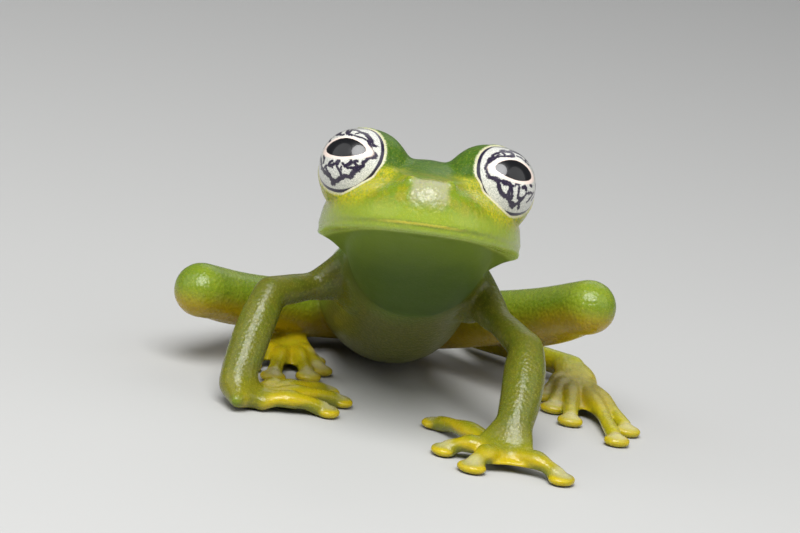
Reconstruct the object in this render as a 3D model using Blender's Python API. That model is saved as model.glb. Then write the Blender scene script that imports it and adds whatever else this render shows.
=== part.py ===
"""Life-size glass frog, sitting with its head raised, as a still museum model.

Sizes are millimetres in this file and metres in the scene. The frog faces -Y, its left side is +X and
+Z is up. Places are measured from the floor point under the middle of the jaw hinge, and the finished
model is then moved so that its footprint is centred on the origin.
"""

import math

import bmesh
import bpy
from mathutils import Matrix, Vector

MM = 0.001
GAP = 0.3
FLOOR = 0.0
SLIVER = 0.002

HEAD_WIDTH = 11.4
HEAD_LENGTH = 9.5
JAW_HEIGHT = 10.4
MOUTH_RAISED = 0.12
HEAD_PITCH = 18.0
HEAD_ROLL = 1.6
HEAD_YAW = 1.8
EYE_RADIUS = 2.1
EYE_SPACING = 7.6
EYE_FORWARD = 4.0
EYE_RAISED = 3.3
EYE_AXIS = Vector((0.554, 0.752, 0.359)).normalized()
NOSTRIL_SPACING = 2.1
DISC_RADIUS = 0.88
TOE_DISC_RADIUS = 0.8
DIGIT_RADIUS = 0.45
WEB_THICKNESS = 0.5
SIDES = {"right": -1, "left": 1}


def head_axes():
    """Sideways, forwards and upwards of the raised head, as unit vectors."""
    pitch = math.radians(HEAD_PITCH)
    roll = math.radians(HEAD_ROLL)
    level = Vector((math.cos(roll), 0, math.sin(roll)))
    ahead = Vector((0, -math.cos(pitch), math.sin(pitch)))
    ahead = (ahead - level * ahead.dot(level)).normalized()
    turn = math.radians(HEAD_YAW)
    sideways = level * math.cos(turn) - ahead * math.sin(turn)
    forwards = ahead * math.cos(turn) + level * math.sin(turn)
    return sideways, forwards, forwards.cross(sideways)


def head_point(across, ahead, above):
    """A place on the head, from the middle of the jaw hinge."""
    sideways, forwards, upwards = head_axes()
    return Vector((0, 0, JAW_HEIGHT)) + sideways * across + forwards * ahead + upwards * above


def head_direction(across, ahead, above):
    """A direction on the head."""
    return (head_point(across, ahead, above) - head_point(0, 0, 0)).normalized()


# The pose: each limb's joints, as places in millimetres
ARMS = {
    "right": {
        "shoulder": Vector((-2.9, 4.9, 6.7)),
        "elbow": Vector((-7.9, 1.5, 5.85)),
        "wrist": Vector((-8.9, -2.2, 1.25)),
        "palm": Vector((-8.1, -2.6, 0.7)),
    },
    "left": {
        "shoulder": Vector((3.2, 4.9, 7.1)),
        "elbow": Vector((7.0, -0.9, 5.5)),
        "wrist": Vector((6.9, -4.7, 2.1)),
        "palm": Vector((6.5, -5.9, 1.0)),
    },
}
LEGS = {
    "right": {
        "hip": Vector((-3.6, 15.6, 2.0)),
        "knee": Vector((-12.0, 5.0, 4.5)),
        "heel": Vector((-5.6, 19.0, 1.0)),
        "hock": Vector((-5.9, 18.6, 0.85)),
        "ball": Vector((-6.8, 11.9, 0.85)),
    },
    "left": {
        "hip": Vector((0.9, 15.6, 2.1)),
        "knee": Vector((10.4, 5.0, 7.1)),
        "heel": Vector((4.2, 19.0, 1.2)),
        "hock": Vector((4.5, 18.7, 1.0)),
        "ball": Vector((10.5, 13.8, 1.15)),
    },
}
# The forearms' radii from elbow to wrist
FOREARM_RADII = {
    "right": (1.0, 1.07, 1.1, 1.08, 1.05),
    "left": (1.05, 1.18, 1.2, 1.14, 1.08),
}
# Where the middle of each digit's disc rests on the floor, from the inner digit to the outer one
FINGERTIPS = {
    "right": [(-5.7, 2.3), (-3.9, 2.6), (-3.0, 0.9), (-3.6, -1.7)],
    "left": [(2.6, -0.6), (3.2, -5.8), (4.8, -8.4), (9.8, -8.0)],
}
TOETIPS = {
    "right": [(-5.0, 8.9), (-4.5, 7.0), (-5.1, 5.2), (-7.1, 4.0), (-8.6, 5.7)],
    "left": [(8.9, 9.3), (9.4, 6.9), (10.4, 4.6), (13.1, 1.8), (13.8, 4.3)],
}

# The trunk from the neck to the vent: middle x, y, z, half width and half height
TRUNK = [
    (0.0, 0.2, 9.7, 3.7, 2.6),
    (0.0, 2.6, 8.8, 4.0, 3.1),
    (-0.3, 5.2, 7.3, 4.2, 3.6),
    (-0.75, 8.4, 5.4, 4.2, 4.1),
    (-1.1, 12.0, 4.3, 4.3, 3.95),
    (-1.3, 15.2, 3.3, 4.0, 3.2),
    (-1.4, 17.4, 2.9, 3.25, 2.6),
    (-1.45, 18.9, 2.6, 2.3, 1.95),
    (-1.5, 19.9, 2.4, 1.3, 1.15),
]
# The upper head from the snout back: distance ahead of the jaw hinge and height above the mouth
CROWN = [
    (9.35, 1.95),
    (9.05, 2.4),
    (8.4, 2.72),
    (7.0, 3.1),
    (5.5, 3.7),
    (4.0, 4.2),
    (2.0, 4.5),
    (0.0, 4.5),
    (-2.0, 4.2),
    (-3.6, 3.4),
]
# The lower jaw and throat: distance ahead of the jaw hinge and depth below the mouth
THROAT = [
    (8.3, 0.5),
    (7.6, 0.85),
    (6.5, 1.35),
    (4.5, 2.15),
    (2.5, 2.95),
    (0.5, 3.6),
    (-1.5, 4.0),
    (-3.2, 3.9),
]


def snout_half_width(ahead):
    """Half the width of the mouth's outline seen from above, at a distance ahead of the jaw hinge."""
    fullness, roundness, neck_taper = 2.3, 2.1, 0.03
    half = HEAD_WIDTH / 2
    if ahead > 0:
        return half * (1 - (ahead / HEAD_LENGTH) ** fullness) ** (1 / roundness)
    return half * (1 - neck_taper * ahead**2)


def empty_scene():
    """Remove every object that the file opens with."""
    for thing in list(bpy.data.objects):
        bpy.data.objects.remove(thing, do_unlink=True)


def material(name, colour, roughness):
    """A plain finish for one kind of skin or for the eyes."""
    finish = bpy.data.materials.new(name)
    finish.use_nodes = True
    shader = finish.node_tree.nodes["Principled BSDF"]
    shader.inputs["Base Color"].default_value = (*colour, 1.0)
    shader.inputs["Roughness"].default_value = roughness
    shader.inputs["Metallic"].default_value = 0.0
    return finish


def spline(stations, t):
    """A Catmull-Rom curve through tuples of numbers, read at t from 0 to 1."""
    last = len(stations) - 1
    place = min(max(t, 0.0), 1.0) * last
    i = min(int(place), last - 1)
    u = place - i
    p1, p2 = stations[i], stations[i + 1]
    p0 = stations[i - 1] if i > 0 else [2 * a - b for a, b in zip(p1, p2)]
    p3 = stations[i + 2] if i + 2 <= last else [2 * b - a for a, b in zip(p1, p2)]
    return [
        b + 0.5 * u * (c - a + u * (2 * a - 5 * b + 4 * c - d + u * (3 * (b - c) + d - a)))
        for a, b, c, d in zip(p0, p1, p2, p3)
    ]


def round_ring(angle):
    """A point of the unit ring of a limb."""
    return math.cos(angle), math.sin(angle)


def crown_ring(angle):
    """A point of the upper head's section: a flat-topped arch over the nearly flat palate."""
    across, above = math.cos(angle), math.sin(angle)
    if above < 0:
        return across, 0.03 * above
    slope, flatness = 1.3, 0.8
    return math.copysign(abs(across) ** slope, across), above**flatness


def throat_ring(angle):
    """A point of the throat's section: a broad trough under the mouth."""
    across, above = math.cos(angle), math.sin(angle)
    if above > 0:
        return across, 0.03 * above
    squareness = 0.66
    return math.copysign(abs(across) ** squareness, across), -(abs(above) ** squareness)


def jaw_floor_ring(angle):
    """A point of the jaw's section between the lips: a shallow bowl as wide as the mouth."""
    across, above = math.cos(angle), math.sin(angle)
    if above > 0:
        return across, 0.03 * above
    return across, -(abs(above) ** 0.9)


def section(middle, along, half_width, half_height, upright):
    """The matrix that carries the unit ring to one section of a form."""
    side = upright.cross(along).normalized()
    up = along.cross(side).normalized()
    columns = (side * half_width, up * half_height, along, middle)
    return Matrix([[c[row] for c in columns] for row in range(3)] + [[0, 0, 0, 1]])


def loft(sections, sides, ring=round_ring):
    """A closed form through the sections, made by extruding one ring from each to the next."""
    form = bmesh.new()
    bmesh.ops.create_circle(form, cap_ends=False, radius=1.0, segments=sides)
    form.verts.ensure_lookup_table()
    for v in form.verts:
        v.co.x, v.co.y = ring(math.atan2(v.co.y, v.co.x))
    edges = list(form.edges)
    first = list(form.edges)
    bmesh.ops.transform(form, matrix=sections[0], verts=form.verts)
    for before, after in zip(sections, sections[1:]):
        made = bmesh.ops.extrude_edge_only(form, edges=edges)["geom"]
        verts = [g for g in made if isinstance(g, bmesh.types.BMVert)]
        edges = [g for g in made if isinstance(g, bmesh.types.BMEdge)]
        bmesh.ops.transform(form, matrix=after @ before.inverted(), verts=verts)
    for end in (first, edges):
        bmesh.ops.contextual_create(form, geom=end)
    bmesh.ops.recalc_face_normals(form, faces=form.faces)
    return form


def tube(stations, rings, sides, grow=0.0, upright=(0, 0, 1), ring=round_ring, caps=(1, 1)):
    """A rounded form along stations of x, y, z, half width and half height."""
    upright = Vector(upright)
    samples = [spline(stations, i / (rings - 1)) for i in range(rings)]
    middles = [Vector(s[:3]) for s in samples]
    sizes = [(s[3] + grow, s[4] + grow) for s in samples]
    sections = []
    for i, (middle, (wide, high)) in enumerate(zip(middles, sizes)):
        along = (middles[min(i + 1, rings - 1)] - middles[max(i - 1, 0)]).normalized()
        sections.append((middle, along, wide, high))
    before, after = [], []
    for turn in (75, 50, 25):
        a = math.radians(turn)
        for end, kept, way, rounding in ((0, before, -1, caps[0]), (-1, after, 1, caps[1])):
            middle, along, wide, high = sections[end]
            out = middle + along * (way * min(wide, high) * math.sin(a) * rounding)
            kept.append((out, along, wide * math.cos(a), high * math.cos(a)))
    whole = before + sections + after[::-1]
    return loft([section(*s, upright) for s in whole], sides, ring)


def ball(middle, radii, columns=16, rows=10, axis=None):
    """A ball or flattened ball, with its third radius along the axis."""
    form = bmesh.new()
    bmesh.ops.create_uvsphere(form, u_segments=columns, v_segments=rows, radius=1.0)
    turn = Matrix.Identity(4)
    if axis is not None:
        turn = Vector(axis).to_track_quat("Z", "Y").to_matrix().to_4x4()
    place = Matrix.Translation(middle) @ turn @ Matrix.Diagonal((*radii, 1.0))
    bmesh.ops.transform(form, matrix=place, verts=form.verts)
    return form


def ring_round(middle, axis, radius, thickness, turns=24, sides=8):
    """A closed ring of round section, as an eyelid's rim is."""
    form = bmesh.new()
    place = Matrix.Translation((radius, 0, 0)) @ Matrix.Rotation(math.pi / 2, 4, "X")
    bmesh.ops.create_circle(form, cap_ends=False, radius=thickness, segments=sides, matrix=place)
    bmesh.ops.spin(
        form,
        geom=form.verts[:] + form.edges[:],
        cent=(0, 0, 0),
        axis=(0, 0, 1),
        angle=math.tau,
        steps=turns,
        use_merge=True,
    )
    bmesh.ops.recalc_face_normals(form, faces=form.faces)
    turn = Vector(axis).to_track_quat("Z", "Y").to_matrix().to_4x4()
    bmesh.ops.transform(form, matrix=Matrix.Translation(middle) @ turn, verts=form.verts)
    return form


def eye_middle(way):
    """The middle of one eyeball."""
    return head_point(way * EYE_SPACING / 2, EYE_FORWARD, EYE_RAISED)


def eye_axis(way):
    """Where one eye looks: forwards, outwards and a little up."""
    return head_direction(way * EYE_AXIS.x, EYE_AXIS.y, EYE_AXIS.z)


def mouth_path(inset):
    """The mouth's outline from the right jaw hinge to the left one, as across, ahead and a taper."""
    half = HEAD_WIDTH / 2
    scale = 1 - inset / half
    places = []
    for turn in range(-90, 91, 6):
        a = math.radians(turn)
        across = half * math.copysign(abs(math.sin(a)) ** (2 / 2.1), a)
        ahead = HEAD_LENGTH * max(math.cos(a), 0.0) ** (2 / 2.3) if abs(turn) < 90 else 0.0
        places.append((across * scale, ahead * scale, 1.0))
    behind = [(0.97, -0.9, 0.92), (0.88, -1.7, 0.7), (0.76, -2.4, 0.4)]
    right = [(-half * wide * scale, back, taper) for wide, back, taper in reversed(behind)]
    left = [(half * wide * scale, back, taper) for wide, back, taper in behind]
    return right + places + left


def lip(above, half_width, half_height, inset, grow):
    """A lip's roll, that runs round the mouth and fades into the skin behind the jaw hinges."""
    stations = []
    for across, ahead, taper in mouth_path(inset):
        middle = head_point(across, ahead, above)
        stations.append((*middle, half_width * taper, half_height * taper))
    return tube(stations, 30, 6, grow, head_axes()[2])


def head_forms(grow):
    """The upper head: crown, upper lip, eye mounds, lids, nostrils and snout ridges."""
    _, forwards, upwards = head_axes()
    palate = MOUTH_RAISED + GAP / 2
    sections = []
    stations = [(9.47, 1.3, 0.5)] + [(a, h, 1.0) for a, h in CROWN] + [(-4.5, 1.8, 0.5)]
    for ahead, height, fill in stations:
        half = snout_half_width(min(ahead, 9.35)) * fill
        middle = head_point(0, ahead + math.copysign(grow, ahead), palate - grow)
        tall = height - MOUTH_RAISED + 2 * grow
        sections.append(section(middle, forwards, half + grow, tall, upwards))
    forms = [loft(sections, 28, crown_ring), lip(palate + 0.24, 0.3, 0.26, 0.26, grow)]
    for way in SIDES.values():
        middle, axis = eye_middle(way), eye_axis(way)
        tilted = head_direction(way * 0.42, 0.85, 0.5)
        forms.append(ball(middle - axis * 0.8, [2.76 + grow] * 3, 24, 14, tilted))
        behind = middle - axis * 2.0 - head_direction(way, 0.0, 0.2) * 0.3
        forms.append(ball(behind, [2.05 + grow] * 3, 14, 9, tilted))
        forms.append(ring_round(middle + axis * 0.76, axis, 2.3, 0.2 + grow, 22, 6))
        nostril = head_point(way * NOSTRIL_SPACING / 2, 8.35, 2.42)
        forms.append(ball(nostril, [0.42 + grow] * 3, 10, 8))
        ridge = [
            (*head_point(way * 1.0, 8.1, 2.35), 0.45, 0.45),
            (*head_point(way * 1.6, 7.0, 2.5), 0.65, 0.6),
            (*head_point(way * 2.2, 5.8, 2.75), 0.8, 0.75),
        ]
        forms.append(tube(ridge, 4, 8, grow))
    return forms


def jaw_forms(grow):
    """The lower jaw: a shallow bowl with its lip, and the throat as a broad trough below it."""
    _, forwards, upwards = head_axes()
    rim = MOUTH_RAISED - GAP / 2
    sections = []
    stations = [(8.45, 0.3, 0.6)] + [(a, d, 1.0) for a, d in THROAT] + [(-4.0, 1.9, 0.55)]
    for ahead, depth, fill in stations:
        hinge_inset = 1.45 * min(1.0, max(0.0, (8.5 - ahead) / 8.5)) ** 0.7
        half = (snout_half_width(min(ahead, 8.6)) - 0.35 - hinge_inset) * fill
        middle = head_point(0, ahead + math.copysign(grow, ahead), rim + grow)
        deep = depth + MOUTH_RAISED + 2 * grow
        sections.append(section(middle, forwards, half + grow, deep, upwards))
    forms = [loft(sections, 24, throat_ring)]
    sections = []
    for ahead in (8.6, 8.0, 7.0, 5.5, 4.0, 2.5, 1.0, -0.5, -1.8, -2.8):
        back_taper = 1.0 if ahead > -0.5 else 1 + 0.16 * (ahead + 0.5)
        half = snout_half_width(min(ahead, 8.6)) * back_taper - 0.45
        deep = 0.6 + 0.1 * (8.6 - ahead) + 2 * grow
        middle = head_point(0, ahead + math.copysign(grow, ahead), rim + grow)
        sections.append(section(middle, forwards, half + grow, deep, upwards))
    forms.append(loft(sections, 24, jaw_floor_ring))
    forms.append(lip(rim - 0.19, 0.42, 0.2, 0.36, grow))
    return forms


def trunk_forms(grow):
    """The body from the neck to the vent."""
    return [tube(TRUNK, 20, 24, grow, caps=(1, 0.55))]


def eye_forms(way):
    """The eyeball."""

    def forms(grow):
        return [ball(eye_middle(way), [EYE_RADIUS + grow] * 3, 20, 12, eye_axis(way))]

    return forms


def limb_forms(start, end, radii, bow=(0, 0, 0), upright=(0, 0, 1), sides=14, rings=9, caps=(1, 1)):
    """One length of a limb, with its radii spread evenly along it and its middle pushed by bow."""

    def forms(grow):
        stations = []
        for i, radius in enumerate(radii):
            t = i / (len(radii) - 1)
            middle = start.lerp(end, t) + Vector(bow) * math.sin(math.pi * t)
            stations.append((*middle, radius, radius))
        return [tube(stations, rings, sides, grow, upright, caps=caps)]

    return forms


def upper_arm_forms(side):
    """The upper arm with the shoulder's muscle, that reaches up beside the neck."""
    arm, way = ARMS[side], SIDES[side]
    start, end = arm["shoulder"], arm["elbow"]
    muscle = [
        (way * 2.9, 3.7, 8.4, 1.3, 1.3),
        (way * 3.9, 3.6, 7.3, 1.2, 1.2),
        (*start.lerp(end, 0.45), 1.0, 1.0),
    ]

    def forms(grow):
        bone = limb_forms(start, end, (1.5, 1.1, 0.84, 0.86, 1.0), upright=(0, -1, 0))
        return bone(grow) + [tube(muscle, 6, 12, grow)]

    return forms


def digit(root, tip, rise, disc_middle_height):
    """A finger's or toe's line from its root, over a knuckle, to the middle of its disc."""

    def at(t):
        ground = Vector(root).lerp(Vector((*tip, disc_middle_height)), t)
        return ground + Vector((0, 0, rise * math.sin(math.pi * min(t, 1.0))))

    return at


def digit_forms(line, radius, disc_radius, grow, rings=5, sides=7):
    """One finger or toe with its disc, which is wider than the digit and truncated in front."""
    stations = []
    for i in range(5):
        t = i / 4
        knuckle = 0.06 * math.cos(2 * math.tau * t)
        wide = radius * (1.3 - 0.3 * t) + knuckle
        stations.append((*line(0.9 * t), wide, radius * 0.95 + knuckle))
    tip = line(1.0)
    way = (line(1.0) - line(0.85)).normalized()
    way.z = 0
    disc_height = 0.34
    turn = Matrix.Rotation(math.atan2(way.y, way.x), 4, "Z")
    disc = bmesh.new()
    bmesh.ops.create_uvsphere(disc, u_segments=10, v_segments=6, radius=1.0)
    size = (disc_radius * 0.86 + grow, disc_radius + grow, disc_height + grow, 1.0)
    place = Matrix.Translation(tip) @ turn @ Matrix.Diagonal(size)
    bmesh.ops.transform(disc, matrix=place, verts=disc.verts)
    return [tube(stations, rings, sides, grow), disc]


def web_forms(first, second, reach_first, reach_second, sag, thickness, grow):
    """The skin between two digits, with a hollow free edge."""
    steps = 5
    sections = []
    for i in range(steps):
        u = i / (steps - 1)
        inner = first(0.0).lerp(second(0.0), u)
        outer = first(reach_first).lerp(second(reach_second), u)
        outer = outer.lerp(inner, sag * math.sin(math.pi * u))
        span = outer - inner
        side = span.normalized()
        across = (second(0.5) - first(0.5)).normalized()
        up = side.cross(across).normalized()
        along = up.cross(side)
        middle = (inner + outer) / 2
        columns = (side * (span.length / 2 + grow), up * (thickness / 2 + grow), along, middle)
        rows = [[c[row] for c in columns] for row in range(3)]
        sections.append(Matrix(rows + [[0, 0, 0, 1]]))
    return [loft(sections, 6)]


def hand_forms(side):
    """A hand: palm, four fingers with discs, and the webs between the outer fingers."""
    places = ARMS[side]
    wrist, palm = places["wrist"], places["palm"]
    tips = FINGERTIPS[side]

    def lines():
        made = []
        for tip in tips:
            toward = Vector((*tip, 0.4)) - palm
            toward.z = 0
            root = palm + toward.normalized() * 0.7
            root.z = max(0.55, palm.z - 0.25)
            made.append(digit(root, tip, 0.35, 0.3))
        return made

    def forms(grow):
        made = []
        heel = wrist.lerp(palm, 0.1)
        spread = [(*heel, 1.0, 0.95), (*wrist.lerp(palm, 0.65), 1.3, 0.8), (*palm, 1.45, 0.6)]
        made.append(tube(spread, 5, 10, grow, caps=(0.35, 1)))
        digits = lines()
        for line in digits:
            made += digit_forms(line, DIGIT_RADIUS, DISC_RADIUS, grow)
        webs = ((0, 1, 0.35, 0.35, 0.3), (1, 2, 0.55, 0.5, 0.3), (2, 3, 0.7, 0.8, 0.35))
        for a, b, reach_a, reach_b, sag in webs:
            made += web_forms(digits[a], digits[b], reach_a, reach_b, sag, WEB_THICKNESS, grow)
        return made

    return forms


def foot_forms(side):
    """A foot: sole, five toes with discs, and the broad webs between them."""
    ball_place, heel = LEGS[side]["ball"], LEGS[side]["heel"]
    tips = TOETIPS[side]

    def lines():
        made = []
        for i, tip in enumerate(tips):
            toward = Vector((*tip, 0.4)) - ball_place
            toward.z = 0
            root = ball_place + toward.normalized() * (0.4 + 0.35 * min(i, 3))
            root.z = max(0.5, ball_place.z - 0.3)
            made.append(digit(root, tip, 0.25, 0.3))
        return made

    def forms(grow):
        digits = lines()
        front = (digits[2](0.12) + digits[3](0.12)) / 2
        back = ball_place.lerp(heel, -0.03)
        spread = [(*back, 0.95, 0.7), (*ball_place.lerp(front, 0.4), 1.25, 0.6), (*front, 1.3, 0.48)]
        made = [tube(spread, 5, 10, grow, caps=(0.35, 1))]
        for line in digits:
            made += digit_forms(line, DIGIT_RADIUS, TOE_DISC_RADIUS, grow)
        reaches = ((0.75, 0.7, 0.25), (0.85, 0.72, 0.25), (0.86, 0.75, 0.25), (0.75, 0.86, 0.25))
        for i, (reach_a, reach_b, sag) in enumerate(reaches):
            made += web_forms(
                digits[i], digits[i + 1], reach_a, reach_b, sag, WEB_THICKNESS, grow
            )
        return made

    return forms


def all_nodes():
    """Each node's forms, in the order in which later nodes are cut clear of earlier ones."""
    nodes = {
        "eye_right": eye_forms(SIDES["right"]),
        "eye_left": eye_forms(SIDES["left"]),
        "head": head_forms,
        "lower_jaw": jaw_forms,
        "trunk": trunk_forms,
    }
    for side in SIDES:
        arm = ARMS[side]
        nodes[f"upper_arm_{side}"] = upper_arm_forms(side)
        nodes[f"forearm_{side}"] = limb_forms(
            arm["elbow"],
            arm["wrist"],
            FOREARM_RADII[side],
            bow=(SIDES[side] * 0.12, 0, 0),
            upright=(0, -1, 0),
            caps=(1, 0.35),
        )
        nodes[f"hand_{side}"] = hand_forms(side)
        leg = LEGS[side]
        nodes[f"thigh_{side}"] = limb_forms(
            leg["hip"], leg["knee"], (1.75, 1.8, 1.7, 1.6, 1.6), bow=(0, 0.3, 0), rings=11
        )
        nodes[f"shin_{side}"] = limb_forms(
            leg["knee"],
            leg["heel"],
            (1.45, 1.5, 1.35, 1.1, 0.85),
            bow=(SIDES[side] * 0.2, -0.5, -0.2),
            rings=11,
        )
        nodes[f"tarsus_{side}"] = limb_forms(
            leg["hock"], leg["ball"], (0.8, 0.75, 0.7, 0.72, 0.75), sides=12, caps=(1, 0.35)
        )
        nodes[f"foot_{side}"] = foot_forms(side)
    return nodes


def neighbours_of(name):
    """The earlier nodes that this one is cut clear of."""
    side = name.rsplit("_", 1)[-1]
    clear_of = {
        "head": ["eye_right", "eye_left"],
        "lower_jaw": [],
        "trunk": ["head", "lower_jaw"],
        "upper_arm": ["trunk", "head", "lower_jaw"],
        "forearm": ["upper_arm"],
        "hand": ["forearm"],
        "thigh": ["trunk"],
        "shin": ["thigh", "trunk"],
        "tarsus": ["shin", "thigh", "trunk"],
        "foot": ["tarsus", "shin", "thigh", "trunk"],
    }
    if name in clear_of:
        return clear_of[name]
    root = name.rsplit("_", 1)[0]
    shared = ("head", "trunk", "lower_jaw")
    return [n if n in shared else f"{n}_{side}" for n in clear_of.get(root, [])]


def objects_from(forms, name, collection):
    """One object for each closed form, in metres."""
    for i, form in enumerate(forms):
        bmesh.ops.triangulate(form, faces=form.faces)
        bmesh.ops.scale(form, vec=(MM, MM, MM), verts=form.verts)
        mesh = bpy.data.meshes.new(f"{name}_{i}")
        form.to_mesh(mesh)
        form.free()
        collection.objects.link(bpy.data.objects.new(f"{name}_{i}", mesh))


def applied(thing):
    """Put the result of the object's modifiers in its mesh, as triangles."""
    graph = bpy.context.evaluated_depsgraph_get()
    mesh = bpy.data.meshes.new_from_object(thing.evaluated_get(graph))
    thing.modifiers.clear()
    form = bmesh.new()
    form.from_mesh(mesh)
    bmesh.ops.triangulate(form, faces=form.faces)
    form.to_mesh(mesh)
    form.free()
    thing.data = mesh


def combine(thing, collection, operation, solver):
    """Join the collection's forms to the object or cut them from it, and remove them."""
    step = thing.modifiers.new(operation.title(), "BOOLEAN")
    step.operation = operation
    step.operand_type = "COLLECTION"
    step.collection = collection
    step.solver = solver
    applied(thing)
    for helper in list(collection.objects):
        bpy.data.objects.remove(helper, do_unlink=True)
    bpy.data.collections.remove(collection)


def helper_collection(name):
    """A collection for forms that are used once."""
    collection = bpy.data.collections.new(name)
    bpy.context.scene.collection.children.link(collection)
    return collection


def fused(forms, name):
    """The forms joined in one object."""
    first, rest = forms[0], forms[1:]
    bmesh.ops.triangulate(first, faces=first.faces)
    bmesh.ops.scale(first, vec=(MM, MM, MM), verts=first.verts)
    mesh = bpy.data.meshes.new(name)
    first.to_mesh(mesh)
    first.free()
    thing = bpy.data.objects.new(name, mesh)
    bpy.context.scene.collection.objects.link(thing)
    if rest:
        collection = helper_collection(f"{name}_forms")
        objects_from(rest, name, collection)
        combine(thing, collection, "UNION", "EXACT")
    return thing


def cut(thing, forms):
    """Cut closed forms from the object."""
    collection = helper_collection(f"{thing.name}_cutters")
    objects_from(forms, f"{thing.name}_cutter", collection)
    combine(thing, collection, "DIFFERENCE", "EXACT")


def floor_block():
    """A block whose top is the floor."""
    block = bmesh.new()
    bmesh.ops.create_cube(block, size=1.0)
    place = Matrix.Translation((0, 5, FLOOR - 5)) @ Matrix.Diagonal((60, 60, 10, 1))
    bmesh.ops.transform(block, matrix=place, verts=block.verts)
    return block


def keep_largest(thing):
    """Keep the largest closed surface of the object's mesh."""
    form = bmesh.new()
    form.from_mesh(thing.data)
    bmesh.ops.remove_doubles(form, verts=form.verts, dist=SLIVER * MM)
    bmesh.ops.dissolve_degenerate(form, edges=form.edges, dist=SLIVER * MM)
    left = set(form.faces)
    shells = []
    while left:
        shell, reached = set(), [left.pop()]
        while reached:
            face = reached.pop()
            shell.add(face)
            for edge in face.edges:
                for other in edge.link_faces:
                    if other in left:
                        left.discard(other)
                        reached.append(other)
        shells.append(shell)
    shells.sort(key=lambda shell: sum(face.calc_area() for face in shell))
    for shell in shells[:-1]:
        bmesh.ops.delete(form, geom=list(shell), context="FACES")
    bmesh.ops.triangulate(form, faces=form.faces)
    form.to_mesh(thing.data)
    form.free()


def nostril_holes():
    """Small dimples for the nostrils, facing up and outwards."""
    made = []
    for way in SIDES.values():
        middle = head_point(way * (NOSTRIL_SPACING / 2 + 0.2), 8.5, 2.82)
        made.append(ball(middle, (0.16, 0.28, 0.3), 8, 6, head_direction(way * 0.7, 0.3, 1)))
    return made


def build():
    """Make every node, cut it clear of its neighbours and set it on the floor."""
    empty_scene()
    skin = material("green_skin", (0.32, 0.52, 0.09), 0.35)
    limb = material("limb_skin", (0.42, 0.52, 0.13), 0.35)
    digit_skin = material("digit_skin", (0.66, 0.62, 0.10), 0.32)
    throat = material("throat_skin", (0.36, 0.55, 0.14), 0.4)
    eye = material("eye", (0.85, 0.85, 0.80), 0.08)
    finishes = {"head": skin, "lower": throat, "trunk": skin, "eye": eye}
    finishes |= {"hand": digit_skin, "foot": digit_skin, "tarsus": digit_skin}
    nodes = all_nodes()
    made = []
    for name, forms in nodes.items():
        thing = fused(forms(0.0), name)
        for neighbour in neighbours_of(name):
            cutter = fused(nodes[neighbour](GAP), f"{neighbour}_grown")
            collection = helper_collection("grown")
            bpy.context.scene.collection.objects.unlink(cutter)
            collection.objects.link(cutter)
            combine(thing, collection, "DIFFERENCE", "EXACT")
        if name == "head":
            cut(thing, nostril_holes())
        if name.split("_")[0] in ("trunk", "hand", "forearm", "tarsus", "foot", "shin"):
            cut(thing, [floor_block()])
        keep_largest(thing)
        thing.data.materials.clear()
        thing.data.materials.append(finishes.get(name.split("_")[0], limb))
        made.append(thing)
    centre_on_footprint(made)


def centre_on_footprint(things):
    """Move the model so that its footprint is centred on the origin."""
    corners = [v.co for thing in things for v in thing.data.vertices]
    middle = [(min(c[i] for c in corners) + max(c[i] for c in corners)) / 2 for i in (0, 1)]
    for thing in things:
        thing.data.transform(Matrix.Translation((-middle[0], -middle[1], 0)))


build()
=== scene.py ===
"""The looks of a life-size glass frog that sits with its head raised.

Shapes are worked out in millimetres, from the floor point under the middle of the frog's jaw hinge, and a
finished piece is carried to the frame's metres. The frog faces -Y and its own left side is +X.
"""

import math

import bmesh
import bpy
import numpy as np
from mathutils import Matrix, Vector


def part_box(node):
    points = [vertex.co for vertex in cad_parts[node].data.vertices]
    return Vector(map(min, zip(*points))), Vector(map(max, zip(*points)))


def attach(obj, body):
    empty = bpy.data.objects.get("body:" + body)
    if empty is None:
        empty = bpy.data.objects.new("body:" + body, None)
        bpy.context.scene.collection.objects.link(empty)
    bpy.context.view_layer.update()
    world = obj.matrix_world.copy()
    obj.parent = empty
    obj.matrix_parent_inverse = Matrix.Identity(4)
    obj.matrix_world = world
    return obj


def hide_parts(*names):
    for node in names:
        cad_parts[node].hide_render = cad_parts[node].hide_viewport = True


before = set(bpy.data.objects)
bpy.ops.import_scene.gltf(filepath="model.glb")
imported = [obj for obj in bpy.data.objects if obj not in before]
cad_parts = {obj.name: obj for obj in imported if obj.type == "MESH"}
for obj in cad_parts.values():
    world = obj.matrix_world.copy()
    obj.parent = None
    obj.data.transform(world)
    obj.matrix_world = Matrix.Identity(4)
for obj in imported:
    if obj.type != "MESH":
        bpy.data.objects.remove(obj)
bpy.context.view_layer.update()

MM = 0.001
SIDES = {"right": -1, "left": 1}

# Skin
FULL_VOXEL = 0.1
VOXEL = FULL_VOXEL
RELAXING_ROUNDS = round(110 * (FULL_VOXEL / VOXEL) ** 2)
SKIN_TRIANGLES = 190_000

# Head
HEAD_WIDTH = 11.4
HEAD_LENGTH = 9.5
JAW_HEIGHT = 10.4
HEAD_PITCH = 18.0
HEAD_ROLL = 1.6
HEAD_YAW = 1.8
MOUTH_FULLNESS = 2.3
MOUTH_ROUNDNESS = 2.1
MOUTH_RAISED = 0.12
MOUTH_SLIT = 0.06
CUT_FACE_SWELL = 0.03
EYE_RADIUS = 2.25
EYE_SPACING = 7.6
EYE_FORWARD = 4.0
EYE_RAISED = 3.3
EYE_AXIS = Vector((0.554, 0.752, 0.359)).normalized()
EYES_TO_RIGHT = 0.08
LIMBUS_RADIUS = 2.02
FAR_AWAY = 9.0
NOSTRIL_SPACING = 2.1

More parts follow.
